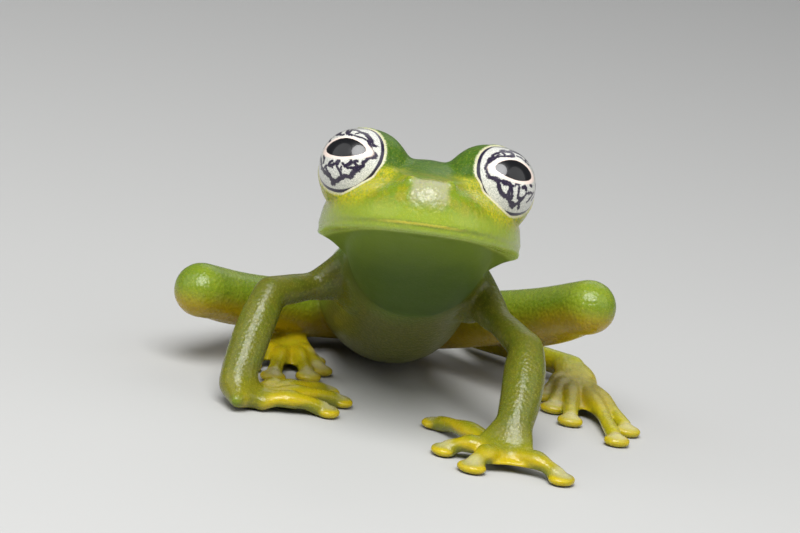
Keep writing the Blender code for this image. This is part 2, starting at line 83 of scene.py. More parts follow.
# Digits
DISC_RADIUS = 0.88
TOE_DISC_RADIUS = 0.8
FINGER_RADIUS = 0.52
TOE_RADIUS = 0.45
DISC_MIDDLE_HEIGHT = 0.3
DISC_HALF_HEIGHT = 0.34
WEB_THICKNESS = 0.3


def head_axes():
    """Sideways, forwards and upwards of the raised head, as unit vectors."""
    pitch = math.radians(HEAD_PITCH)
    roll = math.radians(HEAD_ROLL)
    level = Vector((math.cos(roll), 0, math.sin(roll)))
    ahead = Vector((0, -math.cos(pitch), math.sin(pitch)))
    ahead = (ahead - level * ahead.dot(level)).normalized()
    turn = math.radians(HEAD_YAW)
    sideways = level * math.cos(turn) - ahead * math.sin(turn)
    forwards = ahead * math.cos(turn) + level * math.sin(turn)
    return sideways, forwards, forwards.cross(sideways)


def head_point(across, ahead, above):
    """A place on the head, from the middle of the jaw hinge."""
    sideways, forwards, upwards = head_axes()
    return Vector((0, 0, JAW_HEIGHT)) + sideways * across + forwards * ahead + upwards * above


def head_direction(across, ahead, above):
    """A direction on the head."""
    return (head_point(across, ahead, above) - head_point(0, 0, 0)).normalized()


def eye_middle(way):
    """The middle of one eyeball."""
    return head_point(way * EYE_SPACING / 2 - EYES_TO_RIGHT, EYE_FORWARD, EYE_RAISED)


def eye_axis(way):
    """Where one eye looks: forwards, outwards and a little up."""
    return head_direction(way * EYE_AXIS.x, EYE_AXIS.y, EYE_AXIS.z)


def frame_shift():
    """From this file's starting point to the frame's, in millimetres, found from the right eye."""
    low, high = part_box("eye_right")
    middle = [(a + b) / 2 / MM for a, b in zip(low, high)]
    shift = Vector(middle) - head_point(-EYE_SPACING / 2, EYE_FORWARD, EYE_RAISED)
    return Vector((shift.x, shift.y, 0))


SHIFT = frame_shift()

# The pose: each limb's joints, as places in millimetres
ARMS = {
    "right": {
        "shoulder": Vector((-2.9, 4.9, 6.7)),
        "elbow": Vector((-7.9, 1.5, 5.85)),
        "wrist": Vector((-8.9, -2.2, 1.25)),
        "palm": Vector((-8.1, -2.6, 0.7)),
    },
    "left": {
        "shoulder": Vector((3.2, 4.9, 7.1)),
        "elbow": Vector((7.0, -0.9, 5.5)),
        "wrist": Vector((6.9, -4.7, 2.1)),
        "palm": Vector((6.5, -5.9, 1.0)),
    },
}
LEGS = {
    "right": {
        "hip": Vector((-3.6, 15.6, 2.0)),
        "knee": Vector((-12.0, 5.0, 4.5)),
        "heel": Vector((-5.6, 19.0, 1.0)),
        "hock": Vector((-5.9, 18.6, 0.85)),
        "ball": Vector((-6.8, 11.9, 0.85)),
    },
    "left": {
        "hip": Vector((0.9, 15.6, 2.1)),
        "knee": Vector((10.4, 5.0, 7.1)),
        "heel": Vector((4.2, 19.0, 1.2)),
        "hock": Vector((4.5, 18.7, 1.0)),
        "ball": Vector((10.5, 13.8, 1.15)),
    },
}
# The forearms' radii from elbow to wrist
FOREARM_RADII = {
    "right": (1.0, 1.07, 1.1, 1.08, 1.05),
    "left": (1.05, 1.18, 1.2, 1.14, 1.08),
}
# Where the middle of each digit's disc rests on the floor, from the inner digit to the outer one
FINGERTIPS = {
    "right": [(-5.7, 2.3), (-3.9, 2.6), (-3.0, 0.9), (-3.6, -1.7)],
    "left": [(2.6, -0.6), (3.2, -5.8), (4.8, -8.4), (9.8, -8.0)],
}
TOETIPS = {
    "right": [(-5.0, 8.9), (-4.5, 7.0), (-5.1, 5.2), (-7.1, 4.0), (-8.6, 5.7)],
    "left": [(8.9, 9.3), (9.4, 6.9), (10.4, 4.6), (13.1, 1.8), (13.8, 4.3)],
}

# The trunk from the neck to the vent: middle x, y, z, half width and half height
TRUNK = [
    (0.0, 0.2, 9.7, 3.7, 2.6),
    (0.0, 2.6, 8.8, 4.0, 3.1),
    (-0.3, 5.2, 7.3, 4.2, 3.6),
    (-0.75, 8.4, 5.4, 4.2, 4.1),
    (-1.1, 12.0, 4.3, 4.3, 3.95),
    (-1.3, 15.2, 3.3, 4.0, 3.2),
    (-1.4, 17.4, 2.9, 3.25, 2.6),
    (-1.45, 18.9, 2.6, 2.3, 1.95),
    (-1.5, 19.9, 2.4, 1.3, 1.15),
]
# The upper head from the snout back: distance ahead of the jaw hinge and height above the mouth
CROWN = [
    (9.35, 1.95), (9.05, 2.4), (8.4, 2.72), (7.0, 3.1), (5.5, 3.7),
    (4.0, 4.2), (2.0, 4.5), (0.0, 4.5), (-2.0, 4.2), (-3.6, 3.4),
]
# The lower jaw and throat: distance ahead of the jaw hinge and depth below the mouth
THROAT = [
    (8.3, 0.5), (7.6, 0.85), (6.5, 1.35), (4.5, 2.15),
    (2.5, 2.95), (0.5, 3.6), (-1.5, 4.0), (-3.2, 3.9),
]


def snout_half_width(ahead):
    """Half the width of the mouth's outline seen from above, at a distance ahead of the jaw hinge."""
    half = HEAD_WIDTH / 2
    if ahead > 0:
        return half * (1 - (ahead / HEAD_LENGTH) ** MOUTH_FULLNESS) ** (1 / MOUTH_ROUNDNESS)
    neck_taper = 0.03
    return half * (1 - neck_taper * ahead**2)


def spline(stations, t):
    """A Catmull-Rom curve through tuples of numbers, read at t from 0 to 1."""
    last = len(stations) - 1
    place = min(max(t, 0.0), 1.0) * last
    i = min(int(place), last - 1)
    u = place - i
    p1, p2 = stations[i], stations[i + 1]
    p0 = stations[i - 1] if i > 0 else [2 * a - b for a, b in zip(p1, p2)]
    p3 = stations[i + 2] if i + 2 <= last else [2 * b - a for a, b in zip(p1, p2)]
    return [
        b + 0.5 * u * (c - a + u * (2 * a - 5 * b + 4 * c - d + u * (3 * (b - c) + d - a)))
        for a, b, c, d in zip(p0, p1, p2, p3)
    ]


def round_ring(across, above):
    """A limb's section is the unit ring as it is."""
    return across, above


def powered(value, power):
    """A power of a number's size, with the number's sign."""
    return math.copysign(abs(value) ** power, value)


def crown_ring(across, above):
    """The upper head's section: a flat-topped arch over the nearly flat palate."""
    slope, flatness = 1.3, 0.8
    if above < 0:
        return across, CUT_FACE_SWELL * above
    return powered(across, slope), above**flatness


def throat_ring(across, above):
    """The throat's section: a broad trough under the mouth."""
    squareness = 0.8
    if above > 0:
        return across, CUT_FACE_SWELL * above
    return powered(across, squareness), -(abs(above) ** squareness)


def jaw_floor_ring(across, above):
    """The jaw's section between the lips: hollow skin from a lip's edge down to the throat."""
    edge, hollowness = 0.13, 2.6
    if above > 0:
        return across, CUT_FACE_SWELL * above
    return across, -(edge + (1 - edge) * abs(above) ** hollowness)


def carrier(side, up, along, middle):
    """The matrix with these three columns and this place."""
    columns = (side, up, along, middle)
    return Matrix([[c[row] for c in columns] for row in range(3)] + [[0, 0, 0, 1]])


def facing(axis):
    """The turn that carries +Z to an axis."""
    return Vector(axis).to_track_quat("Z", "Y").to_matrix().to_4x4()


def section(middle, along, half_width, half_height, upright):
    """The matrix that carries the unit ring to one section of a form."""
    side = upright.cross(along).normalized()
    up = along.cross(side).normalized()
    return carrier(side * half_width, up * half_height, along, middle)


def loft(sections, sides, ring=round_ring):
    """A closed form through the sections, made by extruding one ring from each to the next."""
    form = bmesh.new()
    bmesh.ops.create_circle(form, cap_ends=False, radius=1.0, segments=sides)
    form.verts.ensure_lookup_table()
    for v in form.verts:
        angle = math.atan2(v.co.y, v.co.x)
        v.co.x, v.co.y = ring(math.cos(angle), math.sin(angle))
    edges = list(form.edges)
    first = list(form.edges)
    bmesh.ops.transform(form, matrix=sections[0], verts=form.verts)
    for before, after in zip(sections, sections[1:]):
        made = bmesh.ops.extrude_edge_only(form, edges=edges)["geom"]
        verts = [g for g in made if isinstance(g, bmesh.types.BMVert)]
        edges = [g for g in made if isinstance(g, bmesh.types.BMEdge)]
        bmesh.ops.transform(form, matrix=after @ before.inverted(), verts=verts)
    for end in (first, edges):
        bmesh.ops.contextual_create(form, geom=end)
    bmesh.ops.recalc_face_normals(form, faces=form.faces)
    return form


def tube(stations, rings, sides, upright=(0, 0, 1), ring=round_ring, caps=(1, 1)):
    """A rounded form along stations of x, y, z, half width and half height."""
    upright = Vector(upright)
    samples = [spline(stations, i / (rings - 1)) for i in range(rings)]
    middles = [Vector(s[:3]) for s in samples]
    sizes = [s[3:5] for s in samples]
    sections = []
    for i, (middle, (wide, high)) in enumerate(zip(middles, sizes)):
        along = (middles[min(i + 1, rings - 1)] - middles[max(i - 1, 0)]).normalized()
        sections.append((middle, along, wide, high))
    before, after = [], []
    for turn in (82, 65, 48, 32, 16):
        a = math.radians(turn)
        for end, kept, way, rounding in ((0, before, -1, caps[0]), (-1, after, 1, caps[1])):
            middle, along, wide, high = sections[end]
            out = middle + along * (way * min(wide, high) * math.sin(a) * rounding)
            kept.append((out, along, wide * math.cos(a), high * math.cos(a)))
    whole = before + sections + after[::-1]
    return loft([section(*s, upright) for s in whole], sides, ring)


def ball(middle, radii, columns=40, rows=24, turn=Matrix.Identity(4)):
    """A ball or flattened ball, turned about its middle."""
    form = bmesh.new()
    bmesh.ops.create_uvsphere(form, u_segments=columns, v_segments=rows, radius=1.0)
    place = Matrix.Translation(middle) @ turn @ Matrix.Diagonal((*radii, 1.0))
    bmesh.ops.transform(form, matrix=place, verts=form.verts)
    return form


def ring_round(middle, axis, radius, thickness, turns=72, sides=12):
    """A closed ring of round section, as an eyelid's rim is."""
    form = bmesh.new()
    place = Matrix.Translation((radius, 0, 0)) @ Matrix.Rotation(math.pi / 2, 4, "X")
    bmesh.ops.create_circle(form, cap_ends=False, radius=thickness, segments=sides, matrix=place)
    bmesh.ops.spin(
        form,
        geom=form.verts[:] + form.edges[:],
        cent=(0, 0, 0),
        axis=(0, 0, 1),
        angle=math.tau,
        steps=turns,
        use_merge=True,
    )
    bmesh.ops.recalc_face_normals(form, faces=form.faces)
    bmesh.ops.transform(form, matrix=Matrix.Translation(middle) @ facing(axis), verts=form.verts)
    return form


def limb(start, end, radii, bow=(0, 0, 0), upright=(0, 0, 1)):
    """One length of a limb, with its radii spread evenly along it and its middle pushed by bow."""
    stations = []
    for i, radius in enumerate(radii):
        t = i / (len(radii) - 1)
        middle = start.lerp(end, t) + Vector(bow) * math.sin(math.pi * t)
        stations.append((*middle, radius, radius))
    return tube(stations, 24, 36, upright)


def mouth_path(inset):
    """The mouth's outline from the right jaw hinge to the left one, as across, ahead and a taper."""
    half = HEAD_WIDTH / 2
    scale = 1 - inset / half
    places = []
    for turn in range(-90, 91, 6):
        a = math.radians(turn)
        across = half * powered(math.sin(a), 2 / MOUTH_ROUNDNESS)
        ahead = HEAD_LENGTH * max(math.cos(a), 0.0) ** (2 / MOUTH_FULLNESS)
        places.append((across * scale, ahead * scale, 1.0))
    behind = [(0.97, -0.9, 0.92), (0.88, -1.7, 0.7), (0.76, -2.4, 0.4)]
    left = [(half * wide * scale, back, taper) for wide, back, taper in behind]
    right = [(-across, back, taper) for across, back, taper in reversed(left)]
    return right + places + left


def lip(above, half_width, half_height, inset):
    """A lip's roll, that runs round the mouth and fades into the skin behind the jaw hinges."""
    stations = []
    for across, ahead, taper in mouth_path(inset):
        middle = head_point(across, ahead, above)
        stations.append((*middle, half_width * taper, half_height * taper))
    return tube(stations, 110, 20, head_axes()[2])


def head_section(ahead, above, half_width, height):
    """The matrix that carries the unit ring to a section across the head."""
    _, forwards, upwards = head_axes()
    return section(head_point(0, ahead, above), forwards, half_width, height, upwards)


def crown_form():
    """The upper head, from the blunt snout to the nape."""
    snout, nape = (9.47, 1.3, 0.5), (-4.5, 1.8, 0.5)
    sections = []
    for ahead, height, fill in [snout, *((*spline(CROWN, i / 31), 1.0) for i in range(32)), nape]:
        half = snout_half_width(min(ahead, 9.35)) * fill
        sections.append(head_section(ahead, MOUTH_RAISED + MOUTH_SLIT, half, height - MOUTH_RAISED))
    return loft(sections, 72, crown_ring)


def throat_form():
    """The throat, which is narrower than the jaw, from the chin to the neck."""
    chin, neck = (8.45, 0.3, 0.6), (-4.0, 1.9, 0.55)
    lip_inset, most_inset, inset_from = 0.35, 1.45, 8.5
    sections = []
    for ahead, depth, fill in [chin, *((*spline(THROAT, i / 27), 1.0) for i in range(28)), neck]:
        hinge_inset = most_inset * min(1.0, max(0.0, (inset_from - ahead) / inset_from)) ** 0.7
        half = (snout_half_width(min(ahead, 8.6)) - lip_inset - hinge_inset) * fill
        sections.append(head_section(ahead, MOUTH_RAISED - MOUTH_SLIT, half, depth + MOUTH_RAISED))
    return loft(sections, 64, throat_ring)


def jaw_floor_form():
    """The hollow skin between the lips and the throat, which narrows behind the jaw hinges."""
    chin, spacing, lip_inset = 8.6, 0.6, 0.45
    sections = []
    for i in range(20):
        ahead = chin - i * spacing
        narrowing = 1 + 0.16 * min(ahead + 0.5, 0.0)
        half = snout_half_width(ahead) * narrowing - lip_inset
        depth = 0.6 + 0.27 * (chin - ahead)
        sections.append(head_section(ahead, MOUTH_RAISED - MOUTH_SLIT, half, depth))
    return loft(sections, 48, jaw_floor_ring)


def mouth_filler():
    """The flesh between the two jaws, behind the lips."""
    stations = []
    for ahead in (8.2, 6.0, 3.0, 0.0, -3.0):
        stations.append((*head_point(0, ahead, MOUTH_RAISED), snout_half_width(ahead) - 0.75, 0.35))
    return tube(stations, 12, 24, head_axes()[2])


def head_forms():
    """The head: crown, throat, jaw and lips, and each side's eye mound, nostril, canthus and ear."""
    forms = [crown_form(), throat_form(), jaw_floor_form()]
    forms.append(lip(MOUTH_RAISED + 0.28, 0.3, 0.26, 0.26))
    forms.append(lip(MOUTH_RAISED - 0.22, 0.42, 0.21, 0.38))
    forms.append(mouth_filler())
    for way in SIDES.values():
        forms += eye_socket_forms(way) + snout_side_forms(way) + ear_forms(way)
    return forms


def eye_socket_forms(way):
    """The mound round one eye, with the thin rim of its lids."""
    middle, axis = eye_middle(way), eye_axis(way)
    back = middle - axis * 0.75
    behind = middle - axis * 2.0 - head_direction(way, 0.0, 0.2) * 0.3
    return [
        ball(back, [2.62] * 3, 64, 40, facing(axis)),
        ball(behind, [2.05] * 3, 48, 30, facing(axis)),
        ring_round(middle + axis * 0.74, axis, 2.17, 0.09),
    ]


def snout_side_forms(way):
    """One nostril's bump and the ridge that runs from it to the eye."""
    nostril = head_point(way * NOSTRIL_SPACING / 2, 8.35, 2.42)
    canthus = [
        (*head_point(way * 1.0, 8.1, 2.35), 0.45, 0.45),
        (*head_point(way * 1.6, 7.0, 2.5), 0.65, 0.6),
        (*head_point(way * 2.2, 5.8, 2.75), 0.8, 0.75),
    ]
    return [ball(nostril, [0.42, 0.42, 0.42], 24, 16), tube(canthus, 12, 20)]


def ear_forms(way):
    """One small eardrum and the fold of skin that runs from the eye over it."""
    ear = head_point(way * 4.75, -0.6, 2.3)
    fold = [
        (*head_point(way * 4.6, 1.6, 3.6), 0.3, 0.3),
        (*head_point(way * 4.7, 0.2, 3.45), 0.34, 0.34),
        (*head_point(way * 4.75, -1.2, 2.7), 0.32, 0.32),
        (*head_point(way * 4.5, -2.1, 1.4), 0.3, 0.3),
    ]
    return [
        ring_round(ear, head_direction(way, -0.25, 0.3), 0.55, 0.1, 36, 10),
        tube(fold, 16, 16),
    ]


def trunk_forms():
    """The body from the neck to the vent, with its shoulder blades and hip bones under the skin."""
    forms = [tube(TRUNK, 60, 64, caps=(1, 0.55))]
    for side, way in SIDES.items():
        shoulder, elbow = ARMS[side]["shoulder"], ARMS[side]["elbow"]
        blade = [
            (way * 2.0, 3.6, 9.6, 1.3, 1.1),
            (way * 2.9, 5.6, 8.5, 1.4, 1.3),
            (way * 3.1, 7.6, 7.4, 1.1, 1.1),
        ]
        slope = [
            (way * 2.9, 3.7, 8.4, 1.3, 1.3),
            (way * 3.9, 3.6, 7.3, 1.2, 1.2),
            (*shoulder.lerp(elbow, 0.45), 1.0, 1.0),
        ]
        armpit = shoulder + Vector((way * 0.3, -0.9, -0.75))
        hip_bone = [
            (-0.85 + way * 1.25, 9.3, 8.65, 0.5, 0.5),
            (-1.1 + way * 1.35, 12.5, 7.5, 0.6, 0.6),
            (-1.3 + way * 1.2, 15.7, 5.6, 0.6, 0.6),
            (-1.4 + way * 0.8, 18.0, 4.2, 0.5, 0.5),
        ]
        forms += [tube(blade, 16, 28), tube(slope, 14, 28), ball(armpit, [1.15] * 3), tube(hip_bone, 24, 20)]
    return forms


def digit(root, tip, rise):
    """A finger's or toe's line from its root, over a knuckle, to the middle of its disc."""

    def at(t):
        ground = Vector(root).lerp(Vector((*tip, DISC_MIDDLE_HEIGHT)), t)
        return ground + Vector((0, 0, rise * math.sin(math.pi * min(t, 1.0))))

    return at


def digit_lines(middle, tips, starts, lowest, drop, rise):
    """The lines of the digits that spread from the middle of a palm or sole."""
    lines = []
    for tip, start in zip(tips, starts):
        toward = Vector((*tip, 0)) - middle
        toward.z = 0
        root = middle + toward.normalized() * start
        root.z = max(lowest, middle.z - drop)
        lines.append(digit(root, tip, rise))
    return lines


def hand_lines(side):
    """The line of each finger of one hand."""
    return digit_lines(ARMS[side]["palm"], FINGERTIPS[side], [0.7] * 4, 0.55, 0.25, 0.35)


def foot_lines(side):
    """The line of each toe of one foot."""
    starts = (0.4, 0.75, 1.1, 1.45, 1.45)
    return digit_lines(LEGS[side]["ball"], TOETIPS[side], starts, 0.5, 0.3, 0.25)


def digit_forms(line, radius, disc_radius):
    """One finger or toe with its knuckles and its disc, which is flat below and wider than the digit."""
    stations = []
    steps = 9
    for i in range(steps):
        t = i / (steps - 1)
        knuckle = 0.05 * math.cos(2 * math.tau * t)
        taper = 1.7 - 0.75 * t**0.55
        wide = radius * taper + knuckle
        stations.append((*line(0.92 * t), wide, radius * (1.02 - 0.2 * t) + knuckle))
    tip = line(1.0)
    way = (line(1.0) - line(0.85)).normalized()
    way.z = 0
    turn = Matrix.Rotation(math.atan2(way.y, way.x), 4, "Z")
    blunt = 0.86
    disc = ball(tip, (disc_radius * blunt, disc_radius, DISC_HALF_HEIGHT), turn=turn)
    crown = tip + way * (-0.2 * disc_radius) + Vector((0, 0, 0.1))
    pad = ball(crown, (disc_radius * 0.6, disc_radius * 0.68, 0.32))
    return [tube(stations, 28, 20), disc, pad]


def web_form(first, second, reach_first, reach_second, sag):
    """The skin between two digits, with a hollow free edge."""
    steps = 11
    sections = []
    for i in range(steps):
        u = i / (steps - 1)
        inner = first(0.0).lerp(second(0.0), u)
        outer = first(reach_first).lerp(second(reach_second), u)
        outer = outer.lerp(inner, sag * math.sin(math.pi * u))
        span = outer - inner
        side = span.normalized()
        across = (second(0.5) - first(0.5)).normalized()
        up = side.cross(across).normalized()
        middle = (inner + outer) / 2
        sections.append(carrier(side * span.length / 2, up * WEB_THICKNESS / 2, up.cross(side), middle))
    return loft(sections, 24)


def spread_digits(lines, radius, disc_radius, webs):
    """The digits with their discs, and the webs between neighbours: two reaches and a sag each."""
    forms = []
    for line in lines:
        forms += digit_forms(line, radius, disc_radius)
    for first, second, web in zip(lines, lines[1:], webs):
        forms.append(web_form(first, second, *web))
    return forms


def hand_forms(side):
    """A hand: palm, four fingers with discs, and the webs between them."""
    wrist, palm = ARMS[side]["wrist"], ARMS[side]["palm"]
    spread = [
        (*wrist, 1.08, 1.02),
        (*wrist.lerp(palm, 0.5), 1.4, 0.9),
        (*palm, 1.75, 0.66),
    ]
    webs = ((0.45, 0.5, 0.3), (0.75, 0.7, 0.25), (0.9, 0.88, 0.25))
    return [tube(spread, 14, 32), *spread_digits(hand_lines(side), FINGER_RADIUS, DISC_RADIUS, webs)]


def foot_forms(side):
    """A foot: sole, five toes with discs, and the broad webs between them."""
    sole, heel = LEGS[side]["ball"], LEGS[side]["heel"]
    lines = foot_lines(side)
    front = (lines[2](0.12) + lines[3](0.12)) / 2
    back = sole.lerp(heel, 0.06)
    spread = [(*back, 0.9, 0.74), (*sole.lerp(front, 0.4), 1.25, 0.6), (*front, 1.3, 0.48)]
    webs = ((0.8, 0.75, 0.22), (0.88, 0.78, 0.22), (0.9, 0.8, 0.22), (0.8, 0.9, 0.22))
    return [tube(spread, 14, 32), *spread_digits(lines, TOE_RADIUS, TOE_DISC_RADIUS, webs)]


def arm_forms(side):
    """The upper arm and the forearm."""
    arm = ARMS[side]
    bow, ahead = (SIDES[side] * 0.12, 0, 0), (0, -1, 0)
    return [
        limb(arm["shoulder"], arm["elbow"], (1.5, 1.1, 0.84, 0.86, 1.0), upright=ahead),
        limb(arm["elbow"], arm["wrist"], FOREARM_RADII[side], bow, ahead),
    ]


def leg_forms(side):
    """The thigh, the shin and the long ankle."""
    leg = LEGS[side]
    way = SIDES[side]
    return [
        limb(leg["hip"], leg["knee"], (1.75, 1.75, 1.6, 1.52, 1.6), bow=(0, 0.3, -0.25)),
        limb(leg["knee"], leg["heel"], (1.45, 1.5, 1.35, 1.1, 0.85), bow=(way * 0.2, -0.5, -0.2)),
        limb(leg["hock"], leg["ball"], (0.8, 0.75, 0.7, 0.72, 0.75)),
    ]


def joined(forms, name):
    """One object that holds all the forms as they are."""
    whole = bpy.data.meshes.new(name)
    collected = bmesh.new()
    for form in forms:
        part = bpy.data.meshes.new("form")
        form.to_mesh(part)
        form.free()
        collected.from_mesh(part)
        bpy.data.meshes.remove(part)
    collected.to_mesh(whole)
    collected.free()
    thing = bpy.data.objects.new(name, whole)
    bpy.context.scene.collection.objects.link(thing)
    return thing


def apply_modifiers(thing):
    """Put the result of the object's modifiers in its mesh."""
    graph = bpy.context.evaluated_depsgraph_get()
    mesh = bpy.data.meshes.new_from_object(thing.evaluated_get(graph))
    thing.modifiers.clear()
    thing.data = mesh


def places_of(thing):
    """The object's points as an array, in its own units."""
    flat = np.empty(len(thing.data.vertices) * 3)
    thing.data.vertices.foreach_get("co", flat)
    return flat.reshape(-1, 3)


def near(points, middle, inner, outer):
    """1 within the inner distance of a place, falling smoothly to 0 at the outer one."""
    return ramp(np.linalg.norm(points - np.array(middle), axis=1), outer, inner)


def ramp(values, low, high):
    """0 below low and 1 above high, with a smooth rise between; high may be the smaller."""
    t = np.clip((values - low) / (high - low), 0, 1)
    return t * t * (3 - 2 * t)


def along_segment(points, start, end):
    """Each point's distance from a segment, and how far along it lies."""
    start, end = np.array(start), np.array(end)
    span = end - start
    t = np.clip((points - start) @ span / (span @ span), 0, 1)
    return np.linalg.norm(points - (start + t[:, None] * span), axis=1), t


def soften(thing, weights, rounds):
    """Relax the mesh where the weights are high, as skin stretches over what lies under it."""
    group = thing.vertex_groups.new(name="soft")
    steps = 12
    levels = np.round(weights * steps).astype(int)
    for level in range(1, steps + 1):
        chosen = np.nonzero(levels == level)[0].tolist()
        if chosen:
            group.add(chosen, level / steps, "REPLACE")
    smooth = thing.modifiers.new("Relax", "SMOOTH")
    smooth.factor = 0.5
    smooth.iterations = rounds
    smooth.vertex_group = group.name
    apply_modifiers(thing)
    thing.vertex_groups.clear()


def junctions():
    """Where limbs and head join the trunk or bend, with the reach of the skin's fillet there."""
    spots = [(head_point(0, -3.4, 1.5), 4.6), (head_point(0, -1.8, -4.2), 4.6)]
    for side, way in SIDES.items():
        arm, leg = ARMS[side], LEGS[side]
        spots += [
            (arm["shoulder"] + Vector((way * 1.0, -0.6, -0.2)), 3.6),
            (arm["elbow"], 1.7),
            (arm["wrist"], 1.5),
            (arm["palm"] + Vector((0, 0, 0.5)), 1.7),
            (leg["hip"] + Vector((way * 1.2, -1.5, 0.3)), 3.6),
            (leg["knee"], 1.6),
            (leg["heel"], 1.3),
            (eye_middle(way) - eye_axis(way) * 3.2, 2.8),
            (head_point(way * 4.0, -0.8, -1.9), 2.9),
            (head_point(way * 5.2, -1.2, -0.5), 1.5),
        ]
    return spots


def head_places(points):
    """How far across, ahead of and above the middle of the jaw hinge each point lies."""
    offsets = points - np.array(head_point(0, 0, 0))
    return [offsets @ np.array(way) for way in head_axes()]


def round_the_eye(points, way):
    """How far along one eye's axis each point lies, and how far from that axis."""
    offsets = points - np.array(eye_middle(way))
    axial = offsets @ np.array(eye_axis(way))
    return axial, np.sqrt(np.maximum((offsets**2).sum(axis=1) - axial**2, 0))


def softness(points):
    """How much the skin relaxes at each point: at the joints, under the jaw and behind the eyes."""
    across, ahead, above = head_places(points)
    on_head = ramp(points[:, 1], 5.0, 2.0) * ramp(points[:, 2], 4.5, 6.0)
    under_jaw = ramp(above, -0.38, -0.95) * ramp(np.abs(across), 6.4, 5.6) * ramp(ahead, 8.8, 7.8)
    saddle = ramp(above, 2.75, 3.3) * ramp(ahead, 8.0, 7.0)
    weights = np.maximum(under_jaw, saddle) * on_head
    for way in SIDES.values():
        axial, radial = round_the_eye(points, way)
        weights *= 1 - ramp(axial, -1.0, -0.2) * ramp(radial, 3.4, 2.9)
    for middle, reach in junctions():
        weights = np.maximum(weights, near(points, middle, reach * 0.5, reach))
    return weights


def fuse(thing):
    """Turn all that overlaps into one closed surface."""
    remesh = thing.modifiers.new("Fuse", "REMESH")
    remesh.mode = "VOXEL"
    remesh.voxel_size = VOXEL
    remesh.adaptivity = 0
    apply_modifiers(thing)


def skin_mesh():
    """The whole skin as one closed surface with no seam."""
    forms = head_forms() + trunk_forms()
    for side in SIDES:
        forms += arm_forms(side) + hand_forms(side) + leg_forms(side) + foot_forms(side)
    thing = joined(forms, "skin")
    fuse(thing)
    soften(thing, softness(places_of(thing)), RELAXING_ROUNDS)
    fuse(thing)
    soften(thing, np.ones(len(thing.data.vertices)), 2)
    flatten_on_floor(thing)
    thing.modifiers.new("Triangles", "TRIANGULATE")
    apply_modifiers(thing)
    count = len(thing.data.polygons)
    if count > SKIN_TRIANGLES:
        fewer = thing.modifiers.new("Fewer", "DECIMATE")
        fewer.ratio = SKIN_TRIANGLES / count
        apply_modifiers(thing)
    return thing


def flatten_on_floor(thing):
    """Set everything that reaches the floor flat on it."""
    points = places_of(thing)
    points[:, 2] = np.maximum(points[:, 2], 0.0)
    thing.data.vertices.foreach_set("co", points.ravel())


def place_in_frame(thing):
    """Carry a finished piece from millimetres to the frame."""
    thing.data.transform(Matrix.Scale(MM, 4) @ Matrix.Translation(SHIFT))
    thing.data.shade_smooth()
    thing.data.update()


def store(thing, name, values):
    """Keep a number for each point of the mesh, for the materials to read."""
    layer = thing.data.attributes.new(name, "FLOAT", "POINT")
    layer.data.foreach_set("value", np.clip(values, -10, 10).astype(np.float32))


class Value:
    """A number or vector in a material, on which Python's signs add nodes."""

    def __init__(self, shade, socket):
        self.shade = shade
        self.socket = socket

    def maths(self, operation, *others):
        sockets = dict(enumerate((self, *others)))
        return self.shade.node("ShaderNodeMath", {"operation": operation}, sockets)

    def __add__(self, other):
        return self.maths("ADD", other)

    def __sub__(self, other):
        return self.maths("SUBTRACT", other)

    def __rsub__(self, other):
        return (self * -1.0).maths("ADD", other)

    def __mul__(self, other):
        return self.maths("MULTIPLY", other)

    __radd__ = __add__
    __rmul__ = __mul__

    def larger(self, other):
        return self.maths("MAXIMUM", other)

    def smaller(self, other):
        return self.maths("MINIMUM", other)

    def step(self, low, high):
        """0 at low and 1 at high, with a smooth rise between."""
        settings = {"interpolation_type": "SMOOTHSTEP", "clamp": True}
        sockets = {"Value": self, "From Min": low, "From Max": high, "To Min": 0.0, "To Max": 1.0}
        if low > high:
            sockets |= {"From Min": high, "From Max": low, "To Min": 1.0, "To Max": 0.0}
        return self.shade.node("ShaderNodeMapRange", settings, sockets)


